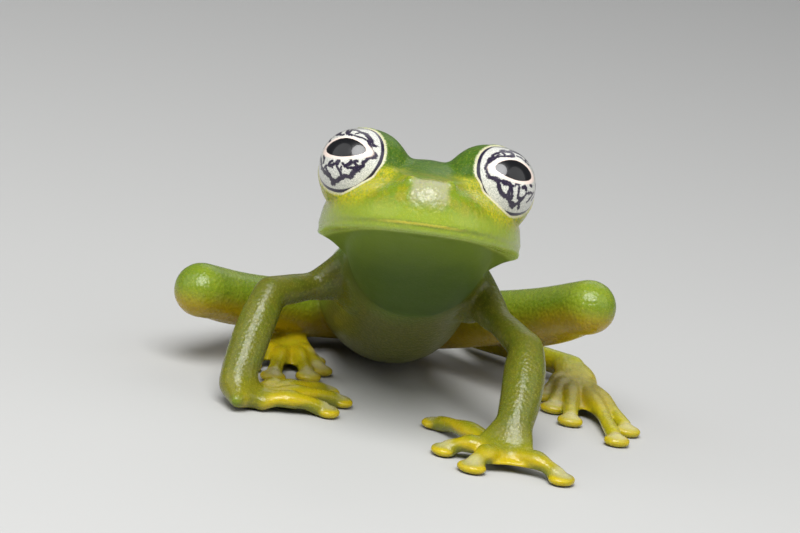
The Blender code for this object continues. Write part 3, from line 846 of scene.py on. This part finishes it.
class Shade:
    """One material, with a method for each kind of node that this frog needs."""

    def __init__(self, name):
        self.material = bpy.data.materials.new(name)
        self.material.use_nodes = True
        self.tree = self.material.node_tree
        self.surface = self.tree.nodes["Principled BSDF"]

    def node(self, kind, settings=None, sockets=None, output=0):
        made = self.tree.nodes.new(kind)
        for key, value in (settings or {}).items():
            setattr(made, key, value)
        for key, value in (sockets or {}).items():
            self.feed(made.inputs[key], value)
        return Value(self, made.outputs[output])

    def feed(self, socket, value):
        if isinstance(value, Value):
            self.tree.links.new(value.socket, socket)
        else:
            socket.default_value = value

    def finish(self, **sockets):
        for name, value in sockets.items():
            self.feed(self.surface.inputs[name.replace("_", " ")], value)

    def place(self):
        """Millimetres from this file's starting point."""
        coordinates = self.node("ShaderNodeTexCoord", output="Object")
        sockets = {"Vector": coordinates, "Scale": (1 / MM,) * 3, "Location": tuple(-SHIFT)}
        return self.node("ShaderNodeMapping", sockets=sockets)

    def vector(self, operation, first, second, output="Vector"):
        """One step of vector arithmetic."""
        settings = {"operation": operation}
        return self.node("ShaderNodeVectorMath", settings, {0: first, 1: second}, output)

    def reach(self, place, start, way):
        """How far a place lies from a starting point in one direction."""
        offset = self.vector("SUBTRACT", place, tuple(start))
        return self.vector("DOT_PRODUCT", offset, tuple(way), "Value")

    def distance_from_line(self, place, start, way):
        """How far a place lies from the line through the starting point."""
        offset = self.vector("SUBTRACT", place, tuple(start))
        along = self.reach(place, start, way)
        whole = self.vector("DOT_PRODUCT", offset, offset, "Value")
        return (whole - along * along).larger(0.0).maths("SQRT")

    def mask(self, name):
        """A number that the mesh keeps for each point."""
        return self.node("ShaderNodeAttribute", {"attribute_name": name}, output="Fac")

    def noise(self, place, size, detail=2.0, roughness=0.5):
        """Smooth noise from 0 to 1 with features of about this size in millimetres."""
        sockets = {"Vector": place, "Scale": 1 / size, "Detail": detail, "Roughness": roughness}
        return self.node("ShaderNodeTexNoise", sockets=sockets)

    def grains(self, place, size):
        """Distance from the nearest grain's middle, as a share of the grains' spacing."""
        settings = {"feature": "F1", "distance": "EUCLIDEAN"}
        return self.node("ShaderNodeTexVoronoi", settings, {"Vector": place, "Scale": 1 / size}, "Distance")

    def mix(self, share, first, second):
        """One colour passing into another."""
        first, second = ((*c, 1.0) if isinstance(c, tuple) and len(c) == 3 else c for c in (first, second))
        settings = {"data_type": "RGBA", "blend_type": "MIX", "clamp_factor": True}
        return self.node("ShaderNodeMix", settings, {0: share, 6: first, 7: second}, 2)

    def bump(self, height, strength, distance):
        """A small relief of this depth in metres."""
        sockets = {"Height": height, "Strength": strength, "Distance": distance}
        return self.node("ShaderNodeBump", sockets=sockets)


LEAF_GREEN = (0.115, 0.225, 0.008)
DEEP_GREEN = (0.04, 0.10, 0.003)
FACE_OLIVE = (0.26, 0.25, 0.006)
CHEEK_YELLOW = (0.40, 0.37, 0.003)
LIP_GREEN = (0.255, 0.335, 0.033)
LIP_RIM = (0.38, 0.50, 0.09)
# Yellow of the pale grains and of the mouth's line, which along its middle is partly a painted highlight
LIP_YELLOW = (0.80, 0.70, 0.08)
JAW_GREEN = (0.125, 0.19, 0.008)
# The throat's own deep green, darkened further as painted shade under the jaw
THROAT_SHADE_GREEN = (0.045, 0.085, 0.001)
ARM_OLIVE = (0.120, 0.115, 0.010)
ARM_GREEN = (0.088, 0.112, 0.009)
LEG_GREEN = (0.19, 0.25, 0.015)
LEG_DARK = (0.135, 0.20, 0.011)
HAND_OLIVE = (0.195, 0.185, 0.008)
GOLD = (0.45, 0.36, 0.004)
WEB_GOLD = (0.45, 0.34, 0.004)
# A painted highlight on top of each finger's and toe's disc
DISC_HIGHLIGHT = (0.50, 0.45, 0.24)
AMBER = (0.42, 0.29, 0.003)
# The belly's olive-grey, darkened as painted shade under the body
SHADED_BELLY = (0.12, 0.12, 0.018)
LID_PALE = (0.58, 0.56, 0.36)
# A painted reflection of the light on the wet snout
SNOUT_REFLECTION = (0.33, 0.33, 0.20)


def mark(masks, name, values):
    """Raise one mask to the new values, where they are higher."""
    masks[name] = np.maximum(masks.get(name, 0.0), values)


def mark_digits(points, masks, lines, tips, spine):
    """Mark one hand's or foot's golden skin, webs and the painted highlights on its discs, and say where it
    lies.
    """
    nearest = np.minimum.reduce([along_segment(points, line(0), line(1))[0] for line in lines])
    root, _ = along_segment(points, *spine)
    here = np.maximum(ramp(nearest, 1.6, 0.9), ramp(root, 2.0, 1.2))
    mark(masks, "golden", here * ramp(points[:, 2], 2.6, 1.2) * 0.9)
    between = ramp(nearest, 0.5, 0.75) * ramp(nearest, 1.8, 1.3) * ramp(root, 0.8, 1.5)
    mark(masks, "webs", between * ramp(points[:, 2], 1.5, 0.9))
    # A pale patch on top of each disc: a painted highlight
    for tip in tips:
        mark(masks, "discs", near(points, (*tip, 0.55), 0.3, 0.75))
    return here


def mark_limbs(points, masks):
    """Mark the arms, the legs with their amber undersides, and the hands and feet."""
    for side in SIDES:
        arm, leg = ARMS[side], LEGS[side]
        upper, _ = along_segment(points, arm["shoulder"], arm["elbow"])
        fore, _ = along_segment(points, arm["elbow"], arm["wrist"])
        mark(masks, "arm_skin", ramp(np.minimum(upper, fore), 2.4, 1.4))
        mark_digits(points, masks, hand_lines(side), FINGERTIPS[side], (arm["wrist"], arm["palm"]))
        foot = mark_digits(points, masks, foot_lines(side), TOETIPS[side], (leg["hock"], leg["ball"]))
        mark(masks, "feet", foot)
        for start, end, radius in ((leg["hip"], leg["knee"], 1.9), (leg["knee"], leg["heel"], 1.3)):
            distance, t = along_segment(points, start, end)
            middle = start.z + t * (end.z - start.z)
            under = ramp((points[:, 2] - middle) / radius, 0.3, -0.75)
            mark(masks, "amber", under * ramp(distance, 2.6, 2.0))
            mark(masks, "legs", ramp(distance, 2.8, 1.9))


def mark_belly(points, masks):
    """Mark the belly, from the trunk's own stations; its tone is partly its own olive-grey and partly
    painted shade under the body.
    """
    stations = np.array(TRUNK)
    middle, half_width, half_height = (
        np.interp(points[:, 1], stations[:, 1], stations[:, column]) for column in (2, 3, 4)
    )
    belly = ramp((points[:, 2] - middle) / half_height + 1, 1.15, 0.5)
    belly *= ramp(np.abs(points[:, 0] + 0.05 * points[:, 1]), half_width * 1.25, half_width * 0.95)
    masks["belly"] = belly * ramp(points[:, 1], 0.5, 3.0) * (1 - masks["arm_skin"])


def mark_head(points, masks):
    """Mark the throat, the lips, the face, the yellow under the eyes, the crown and the flanks."""
    across, ahead, above = head_places(points)
    on_head = ramp(points[:, 1], 4.5, 1.0) * ramp(points[:, 2], 5.4, 6.6)
    before_chest = (1 - ramp(points[:, 1], 1.5, 4.0)) * (1 - masks["arm_skin"] * 0.7)
    # The throat, where the darker green with painted shade under the jaw begins just below the lip
    masks["throat"] = on_head * ramp(above, -0.28, -0.42) * before_chest
    near_mouth = ramp(mouth_distance(across, ahead), 2.6, 0.9)
    masks["lips"] = on_head * ramp(above, 1.5, 0.6) * ramp(above, -0.75, -0.3) * near_mouth
    masks["face"] = on_head * ramp(ahead, 2.5, 5.5) * ramp(above, 3.5, 2.6) * ramp(above, -0.2, 0.3)
    masks["crown"] = on_head * ramp(above, 2.2, 3.3) * ramp(ahead, 8.6, 7.4)
    masks["flank"] = ramp(np.abs(points[:, 0]), 2.0, 4.2) * (1 - on_head)
    upwards = np.array(head_axes()[2])
    for way in SIDES.values():
        axial, radial = round_the_eye(points, way)
        lower = ramp((points - np.array(eye_middle(way))) @ upwards, 0.7, -0.9)
        mark(masks, "cheek", ramp(axial, -2.3, -0.6) * ramp(radial, 4.4, 2.9) * lower)


def skin_masks(thing):
    """Keep where each tone of the skin lies, from the named places of the body."""
    points, masks = places_of(thing), {}
    mark_limbs(points, masks)
    mark_belly(points, masks)
    mark_head(points, masks)
    for name, values in masks.items():
        store(thing, name, values)


def mouth_distance(across, ahead):
    """How far inside the mouth's outline each place lies, about, in millimetres."""
    size = (np.abs(across) / (HEAD_WIDTH / 2)) ** MOUTH_ROUNDNESS
    size += (np.clip(ahead, 0, None) / HEAD_LENGTH) ** MOUTH_FULLNESS
    return (1 - size ** (1 / 2.2)) * HEAD_WIDTH / 2


def body_layers(shade, broad, patchy, speckle, fine, above):
    """The tones of the body from the lowest layer up: each one's share and colour."""
    mask = shade.mask
    olive = shade.mix(patchy.step(0.35, 0.65) * 0.7, FACE_OLIVE, LEAF_GREEN)
    grainy_yellow = shade.mix(fine.step(0.45, 0.7) * 0.65, CHEEK_YELLOW, LEAF_GREEN)
    # The throat's green grows darker towards its bottom: partly its own deep green, partly painted shade
    # under the jaw
    throat = shade.mix((above + (broad - 0.5) * 0.8).step(-2.6, -0.2), THROAT_SHADE_GREEN, JAW_GREEN)
    leg = shade.mix(broad.step(0.35, 0.65), LEG_GREEN, LEG_DARK)
    arm = shade.mix(patchy.step(0.35, 0.7) * 0.6, ARM_OLIVE, ARM_GREEN)
    gold = shade.mix(mask("feet"), HAND_OLIVE, GOLD)
    gold = shade.mix((patchy * 0.8 + speckle * 0.4).step(0.45, 0.85) * 0.5, gold, ARM_OLIVE)
    return [
        (broad.step(0.3, 0.75) * 0.5 + 0.4, LEAF_GREEN),
        (mask("flank") * 0.35, LIP_GREEN),
        (mask("crown") * 0.8, DEEP_GREEN),
        (mask("face") * 0.85, olive),
        ((mask("cheek") + (patchy - 0.5) * 0.3).step(0.1, 0.7), grainy_yellow),
        (mask("lips") * 0.92, LIP_GREEN),
        (mask("throat"), throat),
        (mask("legs") * 0.85, leg),
        (mask("arm_skin") * 0.9, arm),
        # The belly: partly its own olive-grey, partly painted shade under the body
        (mask("belly") * 0.9, SHADED_BELLY),
        (mask("amber"), AMBER),
        (mask("golden") * 0.92, gold),
        (mask("webs"), WEB_GOLD),
        # The painted highlight on top of each disc
        (mask("discs") * 0.6, DISC_HIGHLIGHT),
    ]


def face_layers(shade, place, patchy, speckle, across, ahead, above):
    """The edge of the lower lip, the mouth's yellow line, which along its middle is partly a painted
    highlight, and the margins of the lids.
    """
    rim = (above + 0.25 + (patchy - 0.5) * 0.06).maths("ABSOLUTE").step(0.12, 0.04) * ahead.step(-2.0, 0.0)
    # The mouth's yellow line along its middle: partly the lip's own colour, partly a painted highlight
    line = (above - MOUTH_RAISED - 0.02 + (speckle - 0.5) * 0.1).maths("ABSOLUTE").step(0.09, 0.03)
    line = line * (across + 0.3).maths("ABSOLUTE").step(3.0, 1.0) * ahead.step(6.0, 8.0)
    layers = [(rim * shade.mask("lips") * 0.7, LIP_RIM), (line * 0.75, LIP_YELLOW)]
    for way in SIDES.values():
        start, axis = eye_middle(way), eye_axis(way)
        margin = (shade.distance_from_line(place, start, axis) + (speckle - 0.5) * 0.16).step(2.23, 2.12)
        layers.append((margin * shade.reach(place, start, axis).step(0.3, 0.5) * 0.9, LID_PALE))
    return layers


def living_skin():
    """Moist, finely grained, slightly see-through skin in greens and yellows."""
    shade = Shade("living_skin")
    place, mask = shade.place(), shade.mask
    broad = shade.noise(place, 2.2, 3.0)
    patchy = shade.noise(place, 0.7, 3.0, 0.6)
    fine = shade.grains(place, 0.12)
    coarse = shade.grains(place, 0.24)
    speckle = shade.noise(place, 0.09, 2.0, 0.6)
    across, ahead, above = (shade.reach(place, head_point(0, 0, 0), way) for way in head_axes())
    ragged = (patchy - 0.5) * 0.5 + (speckle - 0.5) * 0.2
    # A pale patch on the snout between the nostrils: a painted reflection of the light, with a little less
    # roughness there as well
    snout = (across.maths("ABSOLUTE") + ragged).step(1.25, 0.8) * ahead.step(7.9, 8.5)
    snout = snout * (above + ragged * 1.6).step(0.8, 1.9) * above.step(2.8, 2.5)

    layers = body_layers(shade, broad, patchy, speckle, fine, above)
    # The snout's painted reflection
    layers.append((snout * 0.85, SNOUT_REFLECTION))
    layers += face_layers(shade, place, patchy, speckle, across, ahead, above)
    layers.append(((1.0 - fine).step(0.55, 0.9) * (0.14 - mask("throat") * 0.13), LIP_YELLOW))
    tone = (*DEEP_GREEN, 1.0)
    for share, colour in layers:
        tone = shade.mix(share, tone, colour)

    smooth_parts = (mask("throat") + mask("lips") * 0.8 + mask("golden") * 0.5).smaller(1.0)
    relief = (1.0 - coarse) * (1.0 - smooth_parts * 0.85) + patchy * 0.4 + speckle * 0.25
    matt = mask("throat") * 0.3 + mask("crown") * 0.2 + mask("belly") * 0.2
    shade.finish(
        Base_Color=tone,
        Roughness=0.23 + (patchy - 0.5) * 0.1 + fine * 0.06 - snout * 0.08 + matt,
        Normal=shade.bump(relief, 0.65, 0.00006),
        Subsurface_Weight=0.25,
        Subsurface_Radius=(0.6, 1.0, 0.15),
        Subsurface_Scale=0.001,
        Specular_IOR_Level=0.27,
        Coat_Weight=0.2 - mask("throat") * 0.2,
        Coat_Roughness=0.12,
    )
    return shade.material


# Dark strokes on each iris: half a stroke's width, then the places it runs through, in millimetres
# from the eye's axis, across towards the frog's left and up
IRIS_MARKS = {
    "right": [
        (0.15, (-1.4, 1.6), (-1.12, 1.34), (-0.84, 1.14), (-0.52, 0.92)),
        (0.07, (-1.78, 1), (-1.48, 1.06), (-1.18, 0.86), (-1, 0.54), (-0.86, 0.38)),
        (0.06, (-1.96, 0.48), (-1.68, 0.38), (-1.38, 0.24)),
        (0.05, (-0.52, 0.92), (-0.28, 0.82), (-0.1, 0.84)),
        (0.07, (-0.18, 1.34), (-0.08, 1.12), (0.04, 0.96), (0.24, 0.88)),
        (0.05, (0.04, 1.3), (0.11, 1.04)),
        (0.06, (0.02, 1.37), (0.36, 1.37), (0.56, 1.32), (0.69, 1.24)),
        (0.045, (0.57, 1.34), (0.61, 1.17), (0.51, 1.04)),
        (0.095, (0.69, 1.26), (0.92, 1.27), (1.05, 1.15), (1.2, 1.04), (1.32, 0.95), (1.4, 0.84)),
        (0.04, (0.24, 0.88), (0.52, 0.88), (0.76, 0.86), (1, 0.86), (1.16, 0.79), (1.29, 0.85)),
        (0.06, (1.32, 0.95), (1.29, 0.8), (1.4, 0.64), (1.45, 0.48), (1.6, 0.32), (1.76, 0.24),
            (1.8, 0.08), (1.74, -0.07), (1.6, -0.16), (1.57, -0.32), (1.45, -0.52), (1.45, -0.68),
            (1.33, -0.84), (1.27, -1)),
        (0.04, (1.4, 0.84), (1.56, 0.71), (1.65, 0.73)),
        (0.035, (1.45, 0.48), (1.54, 0.59), (1.64, 0.67)),
        (0.08, (1.78, 0.18), (1.8, 0.02)),
        (0.1, (-2.1, -0.04), (-1.76, -0.25), (-1.44, -0.41), (-1.24, -0.6), (-1.15, -0.85)),
        (0.06, (-1, -0.44), (-0.87, -0.57), (-0.92, -0.77)),
        (0.045, (-1.18, -1), (-0.92, -1.13), (-0.68, -1), (-0.48, -0.96), (-0.35, -0.84), (-0.18, -0.78)),
        (0.075, (-1.12, -0.96), (-0.88, -1.21), (-0.68, -1.33), (-0.47, -1.45), (-0.32, -1.65),
            (-0.2, -1.77)),
        (0.05, (-0.68, -1), (-0.59, -1.21), (-0.4, -1.37), (-0.27, -1.57)),
        (0.08, (-0.28, -1.69), (-0.11, -1.69), (0.12, -1.64), (0.36, -1.52), (0.6, -1.42), (0.84, -1.4),
            (0.96, -1.28), (1.05, -1.13), (1.24, -0.97)),
        (0.11, (-0.29, -1.74), (-0.16, -1.71)),
        (0.07, (-0.44, -0.96), (-0.27, -1.01), (-0.12, -0.96), (0.04, -0.89), (0.16, -0.77),
            (0.25, -0.79)),
        (0.05, (0.2, -0.84), (0.12, -1.05), (0.28, -1.21), (0.37, -1.29), (0.36, -1.41)),
        (0.035, (0.41, -1), (0.37, -1.17)),
        (0.045, (0.44, -0.84), (0.6, -0.93), (0.76, -0.84), (0.88, -0.65), (0.97, -0.69), (0.84, -0.84),
            (0.6, -0.97), (0.52, -0.88)),
        (0.055, (1, -0.96), (1.13, -0.89), (1.33, -0.84), (1.13, -0.77), (1.05, -0.61), (1.17, -0.56)),
        (0.05, (-0.24, -1), (-0.15, -1.09)),
        (0.04, (0.6, -0.97), (0.77, -1.01), (1, -0.96)),
    ],
    "left": [
        (0.06, (-1.61, 0.59), (-1.52, 0.79), (-1.4, 0.87), (-1.24, 1.07), (-1.04, 1.16), (-0.84, 1.23),
            (-0.68, 1.39), (-0.5, 1.4)),
        (0.08, (-1.46, 0.82), (-1.4, 0.87)),
        (0.045, (-1.54, 0.63), (-1.35, 0.75), (-1.2, 0.87), (-1, 0.88), (-0.84, 0.91), (-0.64, 0.86),
            (-0.48, 0.88)),
        (0.05, (-0.84, 1.23), (-0.75, 1.04), (-0.8, 0.88)),
        (0.035, (-1.04, 1.15), (-0.99, 1.03), (-1.12, 0.95)),
        (0.075, (-0.68, 1.39), (-0.64, 1.24), (-0.47, 1.24), (-0.28, 1.31), (-0.15, 1.36)),
        (0.09, (-0.35, 1.25), (-0.23, 1.12), (-0.31, 0.95), (-0.47, 0.88)),
        (0.05, (-0.02, 0.97), (0.25, 0.92), (0.44, 0.72), (0.69, 0.59)),
        (0.1, (-0.12, 1.38), (0.2, 1.27), (0.6, 1.22), (0.96, 1)),
        (0.06, (0.96, 1), (1.2, 0.76), (1.4, 0.44), (1.52, 0.12)),
        (0.05, (0.44, 0.72), (0.6, 0.88), (0.92, 0.84), (1.16, 0.6), (1.32, 0.28)),
        (0.04, (-1.61, 0.59), (-1.72, 0.43), (-1.78, 0.24), (-1.76, 0.03), (-1.74, -0.2), (-1.67, -0.36),
            (-1.56, -0.42)),
        (0.08, (-1.64, -0.33), (-1.54, -0.4)),
        (0.07, (-1.48, -0.4), (-1.35, -0.57), (-1.24, -0.84), (-1.19, -1.01), (-1.04, -1.2),
            (-0.88, -1.32), (-0.68, -1.41), (-0.52, -1.52), (-0.32, -1.68), (-0.15, -1.74),
            (-0.04, -1.65), (0.05, -1.56), (0.2, -1.68), (0.29, -1.75)),
        (0.055, (-1.4, -0.41), (-1.27, -0.53), (-1.12, -0.61), (-1, -0.77), (-0.8, -0.77), (-0.64, -0.88),
            (-0.59, -1)),
        (0.045, (-1.15, -0.56), (-1, -0.61), (-0.8, -0.69), (-0.6, -0.84), (-0.44, -0.85), (-0.4, -0.72),
            (-0.2, -0.77), (-0.15, -0.89)),
        (0.08, (0.05, -0.84), (0.2, -0.8), (0.33, -0.88)),
        (0.075, (-0.68, -1), (-0.71, -1.21), (-0.63, -1.37)),
        (0.06, (-0.59, -1), (-0.51, -1.25), (-0.44, -1.45)),
        (0.05, (-0.2, -0.92), (-0.15, -1.13), (-0.11, -1.33), (0.04, -1.41), (0.04, -1.57)),
        (0.045, (-0.04, -1.33), (0.13, -1.36), (0.32, -1.25), (0.41, -1.09), (0.6, -1.01), (0.93, -0.93)),
        (0.04, (0.32, -1.25), (0.21, -1.45), (0.08, -1.53)),
        (0.045, (0.72, -1.41), (0.88, -1.21), (1.01, -1), (1.12, -0.84)),
        (0.06, (0.61, -0.61), (0.77, -0.6)),
        (0.1, (1.8, 0.08), (1.84, -0.28), (1.72, -0.6), (1.4, -0.84)),
        (0.06, (1.28, -0.36), (1.4, -0.6), (1.36, -0.88), (1.2, -1.16)),
        (0.1, (-0.32, -1.66), (-0.15, -1.74)),
    ],
}
# The pupils: middle, half width and half height, and how far each is turned
PUPILS = {"right": (0.27, 0.04, 1.16, 0.58, 5.0), "left": (-0.35, 0.04, 1.09, 0.59, -8.0)}


def eye_frame(way):
    """The eye's axis with the across and up directions of its face."""
    axis = eye_axis(way)
    across = head_axes()[2].cross(axis).normalized()
    return axis, across, axis.cross(across)


def eye(side):
    """An eyeball with its places marked for the iris, and a slightly bulging cornea."""
    way = SIDES[side]
    axis, across, up = eye_frame(way)
    middle = eye_middle(way)
    thing = joined([ball(middle, [EYE_RADIUS] * 3, 260, 160, facing(axis))], f"eyeball_{side}")
    points = places_of(thing) - np.array(middle)
    outward = points @ np.array(axis) / EYE_RADIUS
    bulge = 1 + 0.045 * ramp(outward, 0.55, 1.0)
    thing.data.vertices.foreach_set("co", (np.array(middle) + points * bulge[:, None]).ravel())
    flat = np.stack([points @ np.array(across), points @ np.array(up)], axis=1)
    behind = FAR_AWAY * ramp(outward, 0.12, 0.0)
    strokes = np.full(len(flat), FAR_AWAY)
    for half_width, *path in IRIS_MARKS[side]:
        for start, end in zip(path, path[1:]):
            strokes = np.minimum(strokes, along_segment(flat, start, end)[0] - half_width)
    store(thing, "marks", strokes + behind)
    store(thing, "pupil", pupil_distance(flat, *PUPILS[side]) + behind)
    store(thing, "from_axis", np.linalg.norm(flat, axis=1) + behind)
    place_in_frame(thing)
    thing.data.materials.append(iris_material(side))
    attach(thing, "root")
    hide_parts(f"eye_{side}")
    return thing


def pupil_distance(flat, x, y, half_width, half_height, turn):
    """How far outside the lying, pointed pupil each place of the iris lies, about."""
    pointedness, arch, evenness = 1.7, 1.9, 0.54
    c, s = math.cos(math.radians(turn)), math.sin(math.radians(turn))
    offsets = np.abs((flat - np.array((x, y))) @ np.array([[c, -s], [s, c]]))
    size = ((offsets / np.array((half_width, half_height))) ** np.array([pointedness, arch])).sum(axis=1)
    return (size**evenness - 1) * half_height


IRIS_WHITE = (0.70, 0.69, 0.63)
IRIS_GREY = (0.33, 0.35, 0.32)
MARK_DARK = (0.016, 0.011, 0.032)
MARK_BROWN = (0.10, 0.075, 0.09)
RIM_PINK = (0.80, 0.66, 0.58)
PUPIL_BLACK = (0.002, 0.002, 0.003)


def iris_material(side):
    """A white iris with a ragged dark network, a dark outer ring and a black pupil under clear cornea."""
    shade = Shade(f"iris_{side}")
    place = shade.place()
    ragged = shade.noise(place, 0.14, 3.0, 0.65)
    small = shade.noise(place, 0.05, 2.0, 0.6)
    mottle = shade.noise(place, 0.075, 2.0, 0.7)
    marks, pupil, from_axis = shade.mask("marks"), shade.mask("pupil"), shade.mask("from_axis")
    network = (marks + (ragged - 0.5) * 0.2 + (small - 0.5) * 0.08).step(0.045, 0.0)
    white = shade.mix(small.step(0.44, 0.62) * 0.8, IRIS_WHITE, IRIS_GREY)
    white = shade.mix(mottle.step(0.5, 0.66) * 0.6, white, IRIS_GREY)
    dark = shade.mix(small.step(0.5, 0.72) * 0.7, MARK_DARK, MARK_BROWN)
    tone = shade.mix(network, white, dark)
    rim = (pupil + (small - 0.5) * 0.06).step(0.17, 0.11)
    tone = shade.mix(rim, tone, RIM_PINK)
    edge = from_axis + (ragged - 0.5) * 0.03
    tone = shade.mix((edge - LIMBUS_RADIUS).maths("ABSOLUTE").step(0.065, 0.035), tone, MARK_DARK)
    tone = shade.mix(edge.step(LIMBUS_RADIUS + 0.045, LIMBUS_RADIUS + 0.065), tone, LID_PALE)
    tone = shade.mix((pupil + (small - 0.5) * 0.02).step(0.01, -0.015), tone, PUPIL_BLACK)
    shade.finish(
        Base_Color=tone,
        Roughness=0.28,
        Coat_Weight=1.0,
        Coat_Roughness=0.02,
        Coat_IOR=1.36,
        Specular_IOR_Level=0.3,
    )
    return shade.material


def skin():
    """The frog's skin, in one piece that stands for every node of flesh."""
    thing = skin_mesh()
    skin_masks(thing)
    place_in_frame(thing)
    thing.data.materials.append(living_skin())
    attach(thing, "root")
    flesh = [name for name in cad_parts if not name.startswith("eye_")]
    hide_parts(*flesh)
    return thing


def floor():
    """A plain pale floor."""
    sheet = bmesh.new()
    bmesh.ops.create_grid(sheet, x_segments=1, y_segments=1, size=2.0)
    thing = joined([sheet], "floor")
    shade = Shade("pale_floor")
    shade.finish(Base_Color=(0.45, 0.45, 0.44, 1.0), Roughness=0.8)
    thing.data.materials.append(shade.material)


def camera():
    """The photograph's view: from the front, a little above, with the frame turned 9 degrees."""
    elevation, roll, distance, focal = 13.0, 9.0, 208.0, 165.7
    e, turn = math.radians(elevation), math.radians(roll)
    look = Vector((0, math.cos(e), -math.sin(e)))
    level, rise = Vector((1, 0, 0)), Vector((0, math.sin(e), math.cos(e)))
    right = level * math.cos(turn) + rise * math.sin(turn)
    up = rise * math.cos(turn) - level * math.sin(turn)
    off_right, off_up = 1.017, 1.328
    place = head_point(0, 0, 0) - look * distance - right * off_right - up * off_up + SHIFT
    lens = bpy.data.cameras.new("camera")
    lens.sensor_width = 36.0
    lens.lens = focal
    lens.clip_start = 0.005
    thing = bpy.data.objects.new("camera", lens)
    thing.matrix_world = carrier(right, up, -look, place * MM)
    bpy.context.scene.collection.objects.link(thing)
    bpy.context.scene.camera = thing


def lamp(name, direction, distance, size, watts):
    """A round soft light that looks at the head."""
    target = (head_point(0, 4, 0) + SHIFT) * MM
    light = bpy.data.lights.new(name, "AREA")
    light.shape = "DISK"
    light.size = size
    light.energy = watts
    thing = bpy.data.objects.new(name, light)
    way = Vector(direction).normalized()
    thing.location = target + way * distance
    thing.rotation_euler = way.to_track_quat("Z", "Y").to_euler()
    bpy.context.scene.collection.objects.link(thing)


def lights():
    """A soft lamp above the camera, broad weak ones at both sides and behind, and a fill all round."""
    lamp("lamp_above", (-0.03, -0.52, 0.84), 0.30, 0.23, 1.45)
    lamp("lamp_right", (-0.85, -0.3, 0.6), 0.40, 0.40, 0.45)
    lamp("lamp_left", (0.85, -0.3, 0.6), 0.40, 0.40, 0.45)
    lamp("lamp_back", (0.2, 0.9, 0.7), 0.45, 0.35, 0.2)
    world = bpy.data.worlds.new("world")
    bpy.context.scene.world = world
    world.use_nodes = True
    sky = world.node_tree.nodes["Background"]
    sky.inputs["Color"].default_value = (0.9, 0.93, 1.0, 1.0)
    sky.inputs["Strength"].default_value = 0.15


bpy.context.scene.view_settings.view_transform = "Standard"
skin()
for side in SIDES:
    eye(side)
floor()
camera()
lights()
